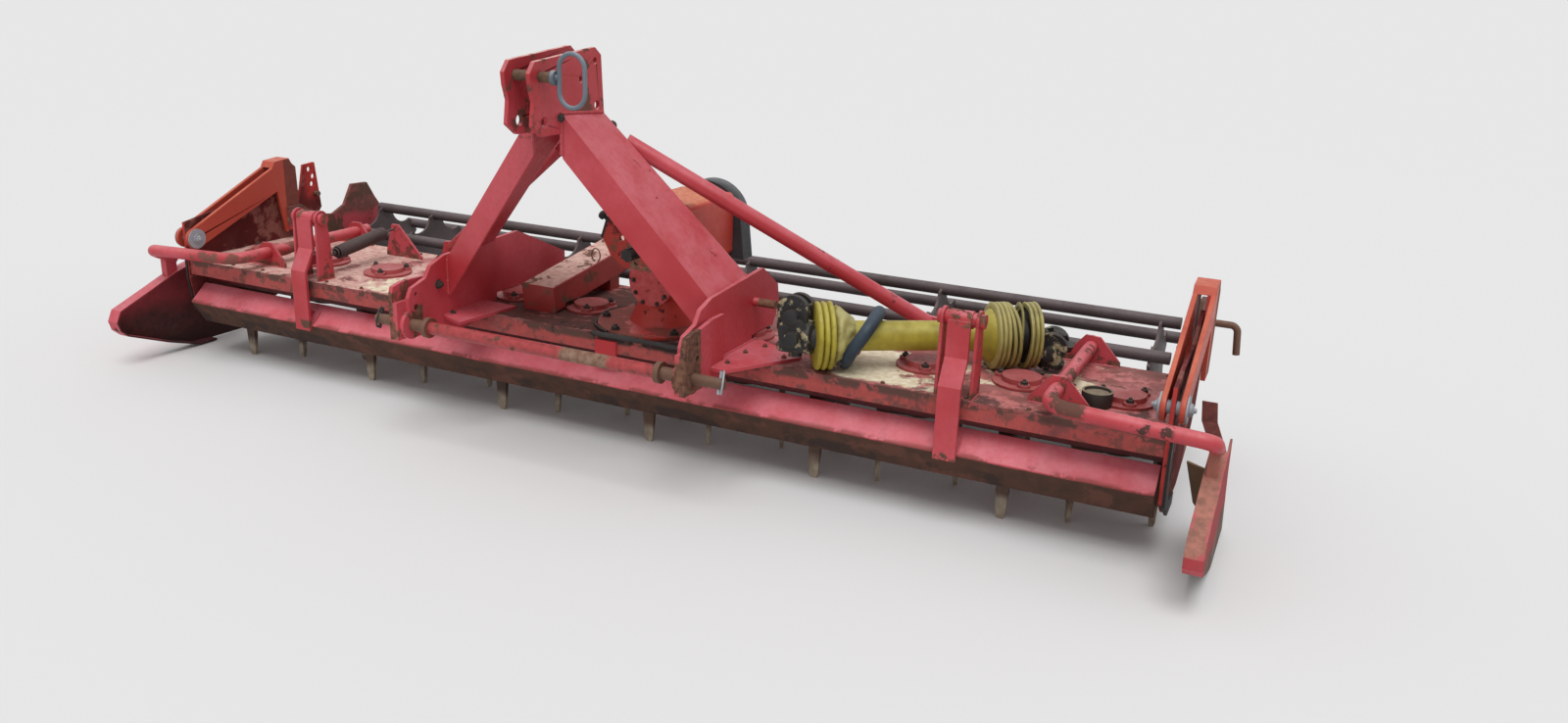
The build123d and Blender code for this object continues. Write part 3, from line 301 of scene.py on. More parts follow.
# What differs from the slot's finish on single nodes
nodeLooks = {
    "trough_cover": {"patches": [
        area((0.55, 0.20, 0.19), (0.42, 0.115, 0.11), share=0.44, scale=13.0, facing=topFace, rough=0.55),
        area((0.050, 0.030, 0.028), share=0.34, scale=7.0, facing=topFace, strength=0.8),
        area((0.30, 0.24, 0.20), (0.20, 0.15, 0.13), share=0.25, scale=5.0, facing=topFace, strength=0.7),
        area(*creamTones, within=[(0, 690, 985), (1, -182, 75)], facing=topFace, share=0.78, scale=6.0,
             ragged=30, soft=10, rough=0.7),
        area(*creamTones, within=[(0, -850, -560), (1, -182, -20)], facing=topFace, share=0.62, scale=6.0,
             ragged=30, soft=10, rough=0.7),
        area(*creamTones, within=[(0, 985, 1290), (1, -60, 240)], facing=topFace, share=0.30, scale=9.0,
             ragged=20, rough=0.7),
        area((0.72, 0.49, 0.43), (0.50, 0.25, 0.21), within=[(0, -1500, -640)], facing=topFace,
             share=0.66, scale=5.0, ragged=40),
        area((0.075, 0.032, 0.028), (0.12, 0.045, 0.036), within=[(0, -520, 120), (1, -190, 240)],
             facing=topFace, share=0.60, scale=5.0, ragged=40),
        area((0.33, 0.050, 0.046), (0.42, 0.065, 0.055), within=[(2, 250, 310), (1, -210, -190)],
             share=0.72, scale=12.0, ragged=18, rough=0.5, strength=0.85),
        area((0.12, 0.052, 0.040), (0.21, 0.065, 0.050), within=[(2, 250, 318), (1, -210, -190)],
             share=0.34, scale=24.0, strength=0.8),
        area((0.10, 0.045, 0.036), within=[(2, 300, 322), (1, -212, -190)], share=0.5, scale=20.0),
        area((0.030, 0.018, 0.016), within=[(0, -120, 415), (1, -210, -150), (2, 303, 330)], share=0.62,
             scale=8.0),
        area((0.44, 0.035, 0.04), within=[(0, 20, 90), (1, -210, -200.6), (2, 240, 310)], soft=1)]},
    "hitch_plates": {"patches": [
        area((0.060, 0.028, 0.020), (0.20, 0.085, 0.055), within=[(0, 428, 450), (1, -480, -388)],
             share=0.86, scale=12.0, soft=2, grain=90.0),
        area(*rustTones, within=[(0, -450, -428), (1, -480, -400)], share=0.55, scale=12.0),
        area(*rustTones, within=[(0, 430, 490), (1, -66, -34), (2, 418, 446)], soft=1),
        area(*rustTones, within=[(1, -472, -380), (2, 290, 380)], share=0.5, scale=18.0)]},
    "top_link_pin": {"deep": (0.10, 0.13, 0.16), "faded": (0.17, 0.20, 0.235),
                     "chalkAndSheen": (0.36, 0.40, 0.44), "chalkAndSheenShare": 0.7, "patches": [
        area((0.085, 0.045, 0.026), (0.17, 0.10, 0.06), within=[(0, -70, 76)], soft=2, rough=0.8,
             grain=40.0)]},
    "link_bar": {"patches": [
        area((0.43, 0.058, 0.062), (0.29, 0.040, 0.042), within=[(0, -343, 342)], soft=3, rough=0.42),
        area((0.19, 0.095, 0.06), (0.30, 0.19, 0.14), within=[(0, 72, 212)], soft=8, ragged=22,
             rough=0.85),
        area(mudBrown, within=[(0, -343, 342)], share=0.22, scale=30.0)]},
    "box_beam": redPaint | {"deep": (0.30, 0.035, 0.03), "faded": (0.42, 0.06, 0.05), "patches": [
        area((0.72, 0.50, 0.43), (0.54, 0.29, 0.24), facing=[(2, 0.6, 0.95)], share=0.9, scale=18.0,
             rough=0.8),
        area((0.16, 0.075, 0.05), share=0.30, scale=16.0)]},
    "gearbox": {"patches": [
        area((0.62, 0.12, 0.12), (0.50, 0.07, 0.07), within=[(1, -110, -85), (2, 380, 512)], share=0.8,
             scale=20.0),
        area((0.30, 0.17, 0.105), (0.13, 0.07, 0.045), within=[(1, -130, -40), (2, 480, 640)], share=0.72,
             scale=14.0),
        area(blackGrease, within=[(1, -140, -30)], share=0.16, scale=30.0, strength=0.85),
        area((0.17, 0.085, 0.06), (0.30, 0.07, 0.06), within=[(2, 318, 332)], share=0.62, scale=10.0)]},
    "speed_housing": {"patches": [
        area((0.66, 0.25, 0.13), (0.54, 0.13, 0.075), facing=topFace, share=0.85, scale=9.0, rough=0.6),
        area(blackGrease, within=[(0, -60, 12), (1, -60, -40), (2, 560, 640)], share=0.55, scale=14.0),
        area((0.20, 0.09, 0.055), within=[(1, -62, -30)], share=0.36, scale=16.0)]},
    "headstock_legs": {"patches": [
        area((0.20, 0.055, 0.045), within=[(2, 846, 930), (0, -100, 30)], share=0.5, scale=12.0),
        area((0.30, 0.045, 0.045), share=0.05, scale=20.0)]},
    "headstock": {"patches": [
        area((0.74, 0.50, 0.45), (0.60, 0.28, 0.26), facing=[(2, 0.55, 0.9)], share=0.8, scale=14.0),
        area((0.15, 0.055, 0.04), share=0.26, scale=12.0),
        area((0.17, 0.05, 0.04), within=[(2, 800, 905)], share=0.5, scale=9.0)]},
    "braces": {"patches": [
        area((0.03, 0.02, 0.02), within=[(2, 360, 640)], share=0.12, scale=13.0),
        area(*rustTones, within=[(2, 318, 366)], share=0.6, scale=18.0)]},
    "board_arms": {"patches": [
        area(*rustTones, within=[(2, 480, 540)], share=0.3, scale=26.0),
        area(mudBrown, within=[(2, 160, 205)], share=0.45, scale=16.0)]},
    "deck_ears": {"edge": 0.006, "patches": [
        area(*rustTones, within=[(2, 318, 336)], share=0.6, scale=22.0),
        area((0.20, 0.055, 0.045), share=0.30, scale=16.0)]},
    "shield_right": {"patches": [
        area((0.24, 0.115, 0.085), (0.46, 0.19, 0.145), within=[(2, 148, 306), (0, 1580, 1626)],
             share=0.80, scale=11.0, ragged=16, grain=34.0),
        area((0.22, 0.11, 0.08), (0.34, 0.12, 0.09), within=[(2, -10, 40), (0, 1580, 1626)], ragged=14),
        # dark red-brown above 296 mm, partly painted shade on the steep bent-up strip
        area((0.12, 0.035, 0.032), (0.20, 0.06, 0.05), within=[(2, 296, 420)], soft=10),
        # the outer face, towards +X, painted darker as painted shade
        area((0.34, 0.028, 0.033), (0.24, 0.022, 0.026), facing=[(0, 0.6, 0.9)], strength=0.9),
        area((0.20, 0.17, 0.15), (0.10, 0.075, 0.06), within=[(2, -10, 88), (1, -330, 200)], ragged=26,
             soft=14, share=0.8, scale=12.0),
        area(mudBrown, within=[(2, -10, 120)], share=0.45, scale=12.0)]},
    "shield_left": {"patches": [
        # the face towards +X is painted darker as painted shade; the shield also grows darker towards the bottom
        area((0.23, 0.026, 0.032), (0.15, 0.022, 0.026), facing=[(0, 0.5, 0.9)], strength=0.85),
        area((0.045, 0.014, 0.014), (0.085, 0.022, 0.02), within=[(2, -10, 150)], facing=[(0, 0.4, 0.8)],
             ragged=50, soft=40),
        area((0.055, 0.030, 0.024), within=[(2, -10, 130)], share=0.3, scale=7.0),
        area((0.045, 0.016, 0.016), within=[(2, -20, 46)], soft=12, strength=0.9)]},
    "roller_arms": {"patches": [
        area((0.14, 0.05, 0.038), (0.075, 0.032, 0.026), within=[(1, 186, 280), (2, 330, 588)], soft=3,
             facing=[(1, -0.6, 0.2)], strength=0.92)]},
    "roller_hangers": {"patches": [
        area((0.13, 0.06, 0.05), (0.27, 0.075, 0.065), within=[(2, 365, 500)], soft=14, ragged=26),
        area((0.33, 0.28, 0.27), (0.10, 0.075, 0.07), within=[(2, 380, 480)], share=0.32, scale=14.0),
        area(mudBrown, share=0.45, scale=9.0)]},
    "end_plates": {"gloss": 0.05, "rough": 0.8, "deep": (0.09, 0.018, 0.018), "faded": (0.17, 0.03, 0.03),
                   "patches": [
        area((0.19, 0.085, 0.07), (0.28, 0.10, 0.085), share=0.42, scale=6.0),
        area((0.50, 0.055, 0.05), within=[(1, 296, 400), (2, 440, 580)], soft=20, strength=0.9),
        area((0.45, 0.055, 0.05), facing=[(1, -0.5, -0.9)], share=0.8, scale=12.0)]},
    # the shield tubes' pale up-facing colours are painted sky highlights as well as chalking
    "shield_tube_right": {"chalkAndSheen": (0.66, 0.17, 0.19), "patches": [
        area((0.13, 0.055, 0.04), within=[(0, 1240, 1330), (2, 350, 400)], share=0.5, scale=16.0),
        area((0.085, 0.035, 0.03), within=[(0, 1430, 1520)], share=0.3, scale=22.0),
        area((0.26, 0.105, 0.075), (0.42, 0.13, 0.10), within=[(2, 230, 312)], soft=12, ragged=20,
             grain=34.0)]},
    "shield_tube_left": {"chalkAndSheen": (0.66, 0.19, 0.20), "patches": [
        area((0.20, 0.07, 0.055), share=0.28, scale=13.0)]},
}
slots = {part["node"]: part["material_slot"] for part in frame["record"]["subparts"]}
finish = {slot: wornSteel(slot, look) for slot, look in finishes.items()}
for name, node in frame["nodes"].items():
    node.data.materials.clear()
    paint = finish[slots[name]]
    if name in nodeLooks:
        paint = wornSteel(name, finishes[slots[name]] | nodeLooks[name])
    node.data.materials.append(paint)

# Small rounds on the sheet and cast edges, with their widths in millimetres
rounds = {"gearbox": 3.0, "speed_housing": 2.5, "bearing_caps": 2.0, "hitch_plates": 1.5, "headstock": 1.5,
          "headstock_legs": 2.5, "clod_board": 2.0, "board_arms": 1.5, "roller_arms": 1.5, "end_plates": 1.5,
          "trough_cover": 1.5, "shield_right": 1.2, "shield_left": 1.2, "box_beam": 2.0, "deck_ears": 1.2,
          "filler_cup": 1.2, "roller_hangers": 1.5, "braces": 1.2, "rear_guard": 1.5}
roundLook = {"merge": 0.00002, "segments": 2, "sharpest": 32}
for name, width in rounds.items():
    join = frame["nodes"][name].modifiers.new("join", "WELD")
    join.merge_threshold = roundLook["merge"]
    bevel = frame["nodes"][name].modifiers.new("rounds", "BEVEL")
    bevel.width = width / 1000
    bevel.segments = roundLook["segments"]
    bevel.limit_method = "ANGLE"
    bevel.angle_limit = math.radians(roundLook["sharpest"])
    bevel.harden_normals = True
print("finishes set")


def addPiece(bm, name, body, slotName, replaced=(), angle=38.0, paint=None):
    # turns a finished bmesh into a piece that rides on its body
    bmesh.ops.recalc_face_normals(bm, faces=bm.faces)
    mesh = bpy.data.meshes.new(name)
    bm.to_mesh(mesh)
    bm.free()
    mesh.polygons.foreach_set("use_smooth", [True] * len(mesh.polygons))
    mesh.set_sharp_from_angle(angle=math.radians(angle))
    piece = bpy.data.objects.new(name, mesh)
    scene.collection.objects.link(piece)
    mesh.materials.append(paint or finish[slotName])
    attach(piece, body)
    if replaced:
        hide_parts(*replaced)


def joinRings(bm, rings, closing=None):
    # faces between neighbouring rings; a closing pair joins the two ends, which get lids without it
    pairs = list(zip(rings, rings[1:]))
    if closing:
        pairs.append(closing)
    for low, high in pairs:
        for n in range(len(low)):
            bm.faces.new((low[n - 1], low[n], high[n], high[n - 1]))
    if not closing:
        bm.faces.new(rings[0][::-1])
        bm.faces.new(rings[-1])


def turned(bm, place, direction, outline, sides=20, spin=0.0):
    # rings of (radius, height) in millimetres along a direction, closed at both ends
    face = Vector(direction).to_track_quat("Z", "Y").to_matrix()
    rings = []
    for radius, height in outline:
        ring = []
        for n in range(sides):
            angle = spin + math.tau * n / sides
            corner = Vector((radius * math.cos(angle), radius * math.sin(angle), height))
            ring.append(bm.verts.new(place + face @ corner / 1000))
        rings.append(ring)
    joinRings(bm, rings)


# A bolt of size 1: outlines of (radius, height), each with its number of sides and its turn
boltLook = {"washer": ([(1.15, 0), (1.2, 0.06), (1.15, 0.2)], 18, 0.0),
            "hexagon": ([(0.95, 0.2), (1, 0.3), (1, 0.8), (0.84, 0.96)], 6, 0.3),
            "thread": ([(0.5, 0.9), (0.5, 1.35), (0.42, 1.45)], 10, 0.0)}


def bolt(bm, place, direction, size, nut=True):
    # washer, hexagon and thread end, or a washer and a plain hexagon head
    for part in ("washer", "hexagon", "thread") if nut else ("washer", "hexagon"):
        outline, sides, spin = boltLook[part]
        sized = [(radius * size, height * size) for radius, height in outline]
        turned(bm, place, direction, sized, sides, spin)


def circle(middle, first, second, radius, steps, start=0.0, sweep=360.0):
    # points round a circle, or along an arc of it that starts and sweeps in degrees
    angles = [math.radians(start + sweep * n / steps) for n in range(steps)]
    return [middle + (first * math.cos(a) + second * math.sin(a)) * radius / 1000 for a in angles]


def tube(bm, points, radius, sides=10, closed=False):
    # tube along metre points, with one radius or one per point in millimetres
    count = len(points)
    radii = radius if isinstance(radius, list) else [radius] * count
    ways = []
    for n in range(count):
        after = points[(n + 1) % count] if closed else points[min(n + 1, count - 1)]
        before = points[n - 1] if closed else points[max(n - 1, 0)]
        ways.append((after - before).normalized())
    across = ways[0].orthogonal().normalized()
    rings = []
    for point, way, r in zip(points, ways, radii):
        across = (across - way * across.dot(way)).normalized()
        rings.append([bm.verts.new(p) for p in circle(point, across, way.cross(across), r, sides)])
    closing = None
    if closed:
        # turn the last ring so that it meets the first without a twist
        near = min(range(sides), key=lambda k: (rings[-1][k].co - rings[0][0].co).length)
        closing = (rings[-1][near:] + rings[-1][:near], rings[0])
    joinRings(bm, rings, closing)


def rod(bm, middle, way, outline, sides):
    # straight tube through a middle, from (along, radius) in millimetres
    points = [middle + way * (along / 1000) for along, _ in outline]
    tube(bm, points, [radius for _, radius in outline], sides)


def plate(bm, points, thickness):
    # flat plate from metre points, thickened along its own normal in millimetres
    normal = (points[1] - points[0]).cross(points[2] - points[0]).normalized() * thickness / 1000
    joinRings(bm, [[bm.verts.new(p + shift) for p in points] for shift in (Vector(), normal)])


def spotsRound(middle, radius, angles):
    # two coordinates at angles in degrees round a middle, in millimetres
    turns = [math.radians(a) for a in angles]
    return [(middle[0] + radius * math.cos(a), middle[1] + radius * math.sin(a)) for a in turns]


xWay, yWay, zWay = Vector((1, 0, 0)), Vector((0, 1, 0)), Vector((0, 0, 1))

# Bolts on the caps, round the gearbox and on its front, on hitch plates, braces' feet and headstock
frameBolts = {
    "capRow": [(n - 5.5) * 250 for n in range(12) if n != 6], "capRing": 56.0, "capLobes": (50, 170, 290),
    "capHigh": 335.2, "capSize": 8.5,
    "gearMiddle": (112.0, -30.0), "gearRing": 146.0, "gearAngles": (22, 84, 142, 196, 250, 318),
    "gearHigh": 329.0, "gearSize": 11.0,
    "nose": [(74, 452), (80, 418), (103, 395), (147, 395), (170, 418), (176, 452), (82, 500), (168, 500),
             (92, 560), (158, 560), (125, 590)], "noseFront": -94.0, "noseSize": 5.5,
    "hitch": [(-404, 1, -316, 420), (-404, 1, -267, 323), (392, -1, -316, 420), (392, -1, -267, 323)],
    "hitchSize": 11.0,
    "feet": [(778, 205), (850, 245), (778, 245), (850, 205)], "footHigh": 328, "footSize": 8.0,
    "head": [((44, -372, 905), (0.35, -1, 0.1), 9.0), ((56, -168, 868), (0.5, -1, 0.3), 11.0)],
}
steelBolts = bmesh.new()
for middle in frameBolts["capRow"]:
    for x, y in spotsRound((middle, 0.0), frameBolts["capRing"], frameBolts["capLobes"]):
        bolt(steelBolts, at(x, y, frameBolts["capHigh"]), zWay, frameBolts["capSize"])
for x, y in spotsRound(frameBolts["gearMiddle"], frameBolts["gearRing"], frameBolts["gearAngles"]):
    bolt(steelBolts, at(x, y, frameBolts["gearHigh"]), zWay, frameBolts["gearSize"])
for x, z in frameBolts["nose"]:
    bolt(steelBolts, at(x, frameBolts["noseFront"], z), -yWay, frameBolts["noseSize"], nut=False)
for x, way, y, z in frameBolts["hitch"]:
    bolt(steelBolts, at(x, y, z), xWay * way, frameBolts["hitchSize"])
for side in (-1, 1):
    for x, y in frameBolts["feet"]:
        bolt(steelBolts, at(side * x, y, frameBolts["footHigh"]), zWay, frameBolts["footSize"])
for place, way, size in frameBolts["head"]:
    bolt(steelBolts, at(*place), Vector(way), size, nut=False)
addPiece(steelBolts, "frame_bolts", "frame", "black_steel")

# Rusty bolts on the cover: at the gussets, and a row of screws along its rear and its front
deckBolts = {"gusset": [(450, -163), (552, -150), (450, -262), (470, -90)], "gussetHigh": 328.0,
             "gussetSize": 6.0, "screwHigh": 320, "rear": range(-1440, 1441, 240), "rearLine": 246,
             "rearSize": 5.5, "frontLine": -182, "frontSize": 5.0,
             "front": (-1330, -1205, -1080, -945, -810, -560, -310, -60, 690, 831, 1040, 1190, 1345, 1450)}
rustyBolts = bmesh.new()
for x, y in deckBolts["gusset"]:
    bolt(rustyBolts, at(x, y, deckBolts["gussetHigh"]), zWay, deckBolts["gussetSize"])
for row in ("rear", "front"):
    for x in deckBolts[row]:
        screwSpot = at(x, deckBolts[row + "Line"], deckBolts["screwHigh"])
        bolt(rustyBolts, screwSpot, zWay, deckBolts[row + "Size"], nut=False)
addPiece(rustyBolts, "deck_bolts", "frame", "pin_steel")

# A zinc-plated nut at both ends of each arm pivot
pivotBolts = {"line": (-184, 386), "inner": 1473.0, "outer": 1536.8, "size": 11.0}
zincBolts = bmesh.new()
for side in (-1, 1):
    for face, way in ((pivotBolts["inner"], -side), (pivotBolts["outer"], side)):
        bolt(zincBolts, at(side * face, *pivotBolts["line"]), xWay * way, pivotBolts["size"])
addPiece(zincBolts, "pivot_bolts", "frame", "zinc_steel")

# Bolts that hold the hangers to the roller arms, and the bearings to the hangers
hangerBolts = {"places": [(214, 408), (214, 372), (236, 390)], "face": 1466.0, "size": 10.0,
               "bearing": (553.5, 190), "ring": 34.0, "angles": (45, 135, 225, 315), "bearingFace": 1444,
               "bearingSize": 5.0}
rollerBolts = bmesh.new()
for side in (-1, 1):
    for y, z in hangerBolts["places"]:
        bolt(rollerBolts, at(side * hangerBolts["face"], y, z), xWay * -side, hangerBolts["size"])
    for y, z in spotsRound(hangerBolts["bearing"], hangerBolts["ring"], hangerBolts["angles"]):
        place = at(side * hangerBolts["bearingFace"], y, z)
        bolt(rollerBolts, place, xWay * -side, hangerBolts["bearingSize"], nut=False)
addPiece(rollerBolts, "hanger_bolts", "roller_frame", "black_steel")
print("bolts done")

# Weld beads by start, end, radius and seed; all but those of the hitch plates lie alike on both sides
weldLook = {
    "spacing": 0.004, "mean": 0.82, "ripple": 0.30, "uneven": 0.12, "ends": 0.4,
    "legs": [((404, -276, 486), (404, -72, 506), 4.5, 3), ((404, -277, 484), (404, -277, 380), 4.5, 4),
             ((42, -364, 915), (42, -184, 903), 4.5, 5), ((42, -367, 910), (42, -367, 812), 4.5, 6)],
    "springEars": [((x, -194, 320), (x, -130, 320), 3.0, x) for x in (963, 971, 1049, 1057)],
    "tubeEars": [((1172, y, 320), (1316, y, 320), 3.0, y + 300) for y in (-126, -118, 252, 260)],
    "hitch": [((416, -318, 328), (416, -34, 328), 4.0, 11), ((-404, -300, 328), (-404, -114, 328), 4.0, 12)],
    "board": [((x, -219, 188), (x, -180, 221), 2.6, x) for x in (982, 1038)],
}


def weld(bm, beads, sides=(1,)):
    # beads with ripples, sunk into the corners they fill
    for side in sides:
        for (x0, y0, z0), (x1, y1, z1), radius, seed in beads:
            start, end = at(side * x0, y0, z0), at(side * x1, y1, z1)
            rng = random.Random(seed)
            count = max(4, int((end - start).length / weldLook["spacing"]))
            radii = []
            for n in range(count):
                ripple = weldLook["mean"] + weldLook["ripple"] * (n % 2)
                radii.append(radius * (ripple + rng.uniform(-weldLook["uneven"], weldLook["uneven"])))
            radii[0] = radii[-1] = radius * weldLook["ends"]
            tube(bm, [start.lerp(end, n / (count - 1)) for n in range(count)], radii, sides=6)


frameWelds = bmesh.new()
weld(frameWelds, weldLook["legs"] + weldLook["springEars"] + weldLook["tubeEars"], (-1, 1))
weld(frameWelds, weldLook["hitch"])
addPiece(frameWelds, "frame_welds", "frame", "body_paint")
boardWelds = bmesh.new()
weld(boardWelds, weldLook["board"], (-1, 1))
addPiece(boardWelds, "board_welds", "board", "body_paint")
print("welds done")

# Tension spring of the left arm, wound wire with a hook at each end that leaves the eye, bends and joins
springLook = {"x": -1010, "front": (-112, 374), "rear": (184, 412), "frontHook": (0.004, 0.016, 0.034),
              "rearHook": (0.003, 0.022, 0.040), "coilRadius": 17.5, "narrow": 0.25, "widen": 12,
              "wire": 3.6, "turns": 31, "stepsPerTurn": 14}
coil = bmesh.new()
springStart, springEnd = (at(springLook["x"], *springLook[k]) for k in ("front", "rear"))
springWay = (springEnd - springStart).normalized()
springSide = springWay.cross(zWay).normalized()
springUp = springSide.cross(springWay)
rise, bend, join = springLook["frontHook"]
coilStart = springStart + springWay * join
points = [springStart + springUp * rise, springStart + springWay * bend]
rise, bend, join = springLook["rearHook"]
coilEnd = springEnd - springWay * join
steps = springLook["turns"] * springLook["stepsPerTurn"]
for n in range(steps + 1):
    share = n / steps
    angle = math.tau * n / springLook["stepsPerTurn"]
    wide = min(1.0, springLook["narrow"] + springLook["widen"] * min(share, 1 - share))
    reach = (springSide * math.cos(angle) + springUp * math.sin(angle)) * springLook["coilRadius"] / 1000
    points.append(coilStart.lerp(coilEnd, share) + reach * wide)
points += [springEnd - springWay * bend, springEnd - springUp * rise]
tube(coil, points, springLook["wire"], sides=7)
addPiece(coil, "spring_coil", "frame", "spring_steel", ["tension_spring"], angle=60)
print("spring wound")

# Linch pins through the ends of the lower link pins
linchLook = {"place": (513.0, -421, 332), "way": (0, 0.28, 0.96), "wire": 2.4, "ring": 26.0,
             "ringRise": 0.004, "ringOut": 0.0062, "ringWay": (-0.46, 0.89, 0),
             "pin": [(-26, 2.4), (-24, 4.2), (24, 4.2), (30, 5.6)],
             "sides": ((1, "linch_pin_right", "zinc_steel"), (-1, "linch_pin_left", "black_steel"))}
for side, name, slotName in linchLook["sides"]:
    clip = bmesh.new()
    x, y, z = linchLook["place"]
    middle = at(side * x, y, z)
    lean = Vector(linchLook["way"]).normalized()
    rod(clip, middle, lean, linchLook["pin"], sides=12)
    ringMiddle = middle + lean * linchLook["ringRise"] + xWay * side * linchLook["ringOut"]
    ring = circle(ringMiddle, lean, Vector(linchLook["ringWay"]), linchLook["ring"], 30)
    tube(clip, ring, linchLook["wire"], sides=8, closed=True)
    addPiece(clip, name, "frame", slotName)

# Wire clip left in the box beam's top edge
clipLook = {"middle": (-183, 112, 446), "ring": 20.0, "narrow": 0.72, "arc": (-70, 330), "wire": 1.9,
            "leg": [(-187, 112, 432), (-189, 110, 410), (-179, 108, 392)]}
wire = bmesh.new()
middle, across = at(*clipLook["middle"]), xWay * clipLook["narrow"]
arc = circle(middle, across, zWay, clipLook["ring"], 26, *clipLook["arc"])
for points in (arc, [at(*p) for p in clipLook["leg"]]):
    tube(wire, points, clipLook["wire"], sides=7)
addPiece(wire, "wire_clip", "frame", "pin_steel")

# Black seal strip on the cover's lip, and the edge of the gasket that has come loose by the gearbox
sealLook = {"places": range(14, 392, 14), "y": -203.5, "z": 322, "wobbleY": 0.8, "wobbleZ": 1.2,
            "radius": 7.0, "uneven": 0.9, "ends": (3.0, 4.0), "seed": 8}
gasketLook = {"middle": (112, -30, 324.5), "radius": 171.0, "arc": (148, 104), "steps": 30,
              "wave": 0.003, "waves": 9, "thick": 4.0}
seal = bmesh.new()
rng = random.Random(sealLook["seed"])
sealPoints = []
for x in sealLook["places"]:
    y = sealLook["y"] + rng.uniform(-sealLook["wobbleY"], sealLook["wobbleY"])
    sealPoints.append(at(x, y, sealLook["z"] + rng.uniform(-sealLook["wobbleZ"], sealLook["wobbleZ"])))
first, last = sealLook["ends"]
uneven = sealLook["uneven"]
middleRadii = [sealLook["radius"] + rng.uniform(-uneven, uneven) for _ in sealPoints[2:]]
tube(seal, sealPoints, [first, *middleRadii, last])
steps = gasketLook["steps"]
arc = circle(at(*gasketLook["middle"]), xWay, yWay, gasketLook["radius"], steps, *gasketLook["arc"])
for n, point in enumerate(arc):
    point += zWay * gasketLook["wave"] * math.sin(gasketLook["waves"] * n / steps)
tube(seal, arc, gasketLook["thick"], sides=8)
addPiece(seal, "deck_seal", "frame", "black_steel")

# Knob and edge moulding on the speed plate
knobLook = {"place": (-30, -62, 602), "way": (-0.55, -0.5, 0.65),
            "outline": [(6, -6), (6, 6), (11, 8), (13, 14), (12, 20), (7, 24)],
            "edge": [(-50, 546), (-32, 600), (6, 630), (44, 630)], "edgeFront": -54, "edgeRadius": 5.5,
            "steps": 6}
knob = bmesh.new()
turned(knob, at(*knobLook["place"]), Vector(knobLook["way"]), knobLook["outline"], sides=14)
edgePoints = []
for (x0, z0), (x1, z1) in zip(knobLook["edge"], knobLook["edge"][1:]):
    for k in range(knobLook["steps"]):
        share = k / knobLook["steps"]
        edgePoints.append(at(x0 + (x1 - x0) * share, knobLook["edgeFront"], z0 + (z1 - z0) * share))
tube(knob, edgePoints, knobLook["edgeRadius"], sides=8)
addPiece(knob, "plate_knob", "frame", "black_steel")

# Black rubber strip along the front edge of each end plate, on its outer face
stripLook = {"face": 1509.6, "thick": 7.0,
             "outline": [(-211, 330), (-211, 261), (-195, 152), (-120, 103), (-40, 103), (-40, 132),
                         (-108, 134), (-168, 174), (-182, 262), (-182, 330)]}
stripRubber = wornSteel("stripRubber", finishes["black_plastic"] | {
    "deep": (0.008, 0.008, 0.009), "faded": (0.018, 0.017, 0.018), "chalkAndSheen": (0.035, 0.03, 0.028)})
strips = bmesh.new()
for side in (-1, 1):
    corners = [at(side * stripLook["face"], y, z) for y, z in stripLook["outline"][::side]]
    plate(strips, corners, stripLook["thick"])
addPiece(strips, "edge_strips", "frame", "black_plastic", paint=stripRubber)

# Deflector inside the right shield
deflectorLook = {"corners": ((1623, -20, 40), (1623, -182, 250), (1546, -150, 258), (1571, -140, 160)),
                 "thick": 4.0}
deflectorPaint = wornSteel("deflector", redPaint | {
    "deep": (0.13, 0.075, 0.04), "faded": (0.22, 0.135, 0.075), "chalkAndSheen": (0.30, 0.20, 0.12),
    "dirt": (0.09, 0.05, 0.03)})
deflector = bmesh.new()
plate(deflector, [at(*p) for p in deflectorLook["corners"]], deflectorLook["thick"])
addPiece(deflector, "shield_deflector", "shield_right_arm", "body_paint", paint=deflectorPaint)
print("small parts done")

# Drive shaft: its line, along which the guard's tube, bellows, sleeve and joints lie
shaftLook = {"left": (680, -146, 406.3), "right": (1066, 100, 406.3)}
shaftLeft, shaftRight = at(*shaftLook["left"]), at(*shaftLook["right"])
shaftWay = (shaftRight - shaftLeft).normalized()
shaftSide = shaftWay.cross(zWay).normalized()
shaftLong = (shaftRight - shaftLeft).length * 1000


# Coarse and fine noise that crumples plastic: its scale round the shaft, along it, and its share
crumpleLook = {"round": 2.2, "along": 0.05, "fineRound": 6.0, "fineAlong": 0.11, "fineShare": 0.5}


def skin(bm, outline, crumple, seed, sides=72, lean=(0.0, 0.0), closeUp=False):
    # surface of revolution about the shaft from (along, radius) points; it crumples and may lean
    rings = []
    for along, radius in outline:
        ring = []
        for n in range(sides):
            angle = math.tau * n / sides
            out = shaftSide * math.cos(angle) + zWay * math.sin(angle)
            coarse = out * crumpleLook["round"] + Vector((along * crumpleLook["along"], seed, 0))
            fine = out * crumpleLook["fineRound"] + Vector((seed, along * crumpleLook["fineAlong"], 0))
            push = crumple * noise.noise(coarse)
            push += crumpleLook["fineShare"] * crumple * noise.noise(fine)
            slip = lean[0] * math.cos(angle) + lean[1] * math.sin(angle)
            spot = shaftLeft + shaftWay * (along + slip) / 1000 + out * (radius + push) / 1000
            ring.append(bm.verts.new(spot))
        rings.append(ring)
    joinRings(bm, rings, (rings[-1], rings[0]) if closeUp else None)


def ribs(start, count, pitch, high, low):
    # bellows outline of rounded ribs
    shape = ((0.0, low), (0.16, high - 2.5), (0.38, high), (0.62, high), (0.84, high - 2.5))
    line = [(start + (n + share) * pitch, radius) for n in range(count) for share, radius in shape]
    return line + [(start + count * pitch, low)]


def fromRight(line):
    # an outline that starts from the shaft's right end
    return [(shaftLong + along, radius) for along, radius in line]


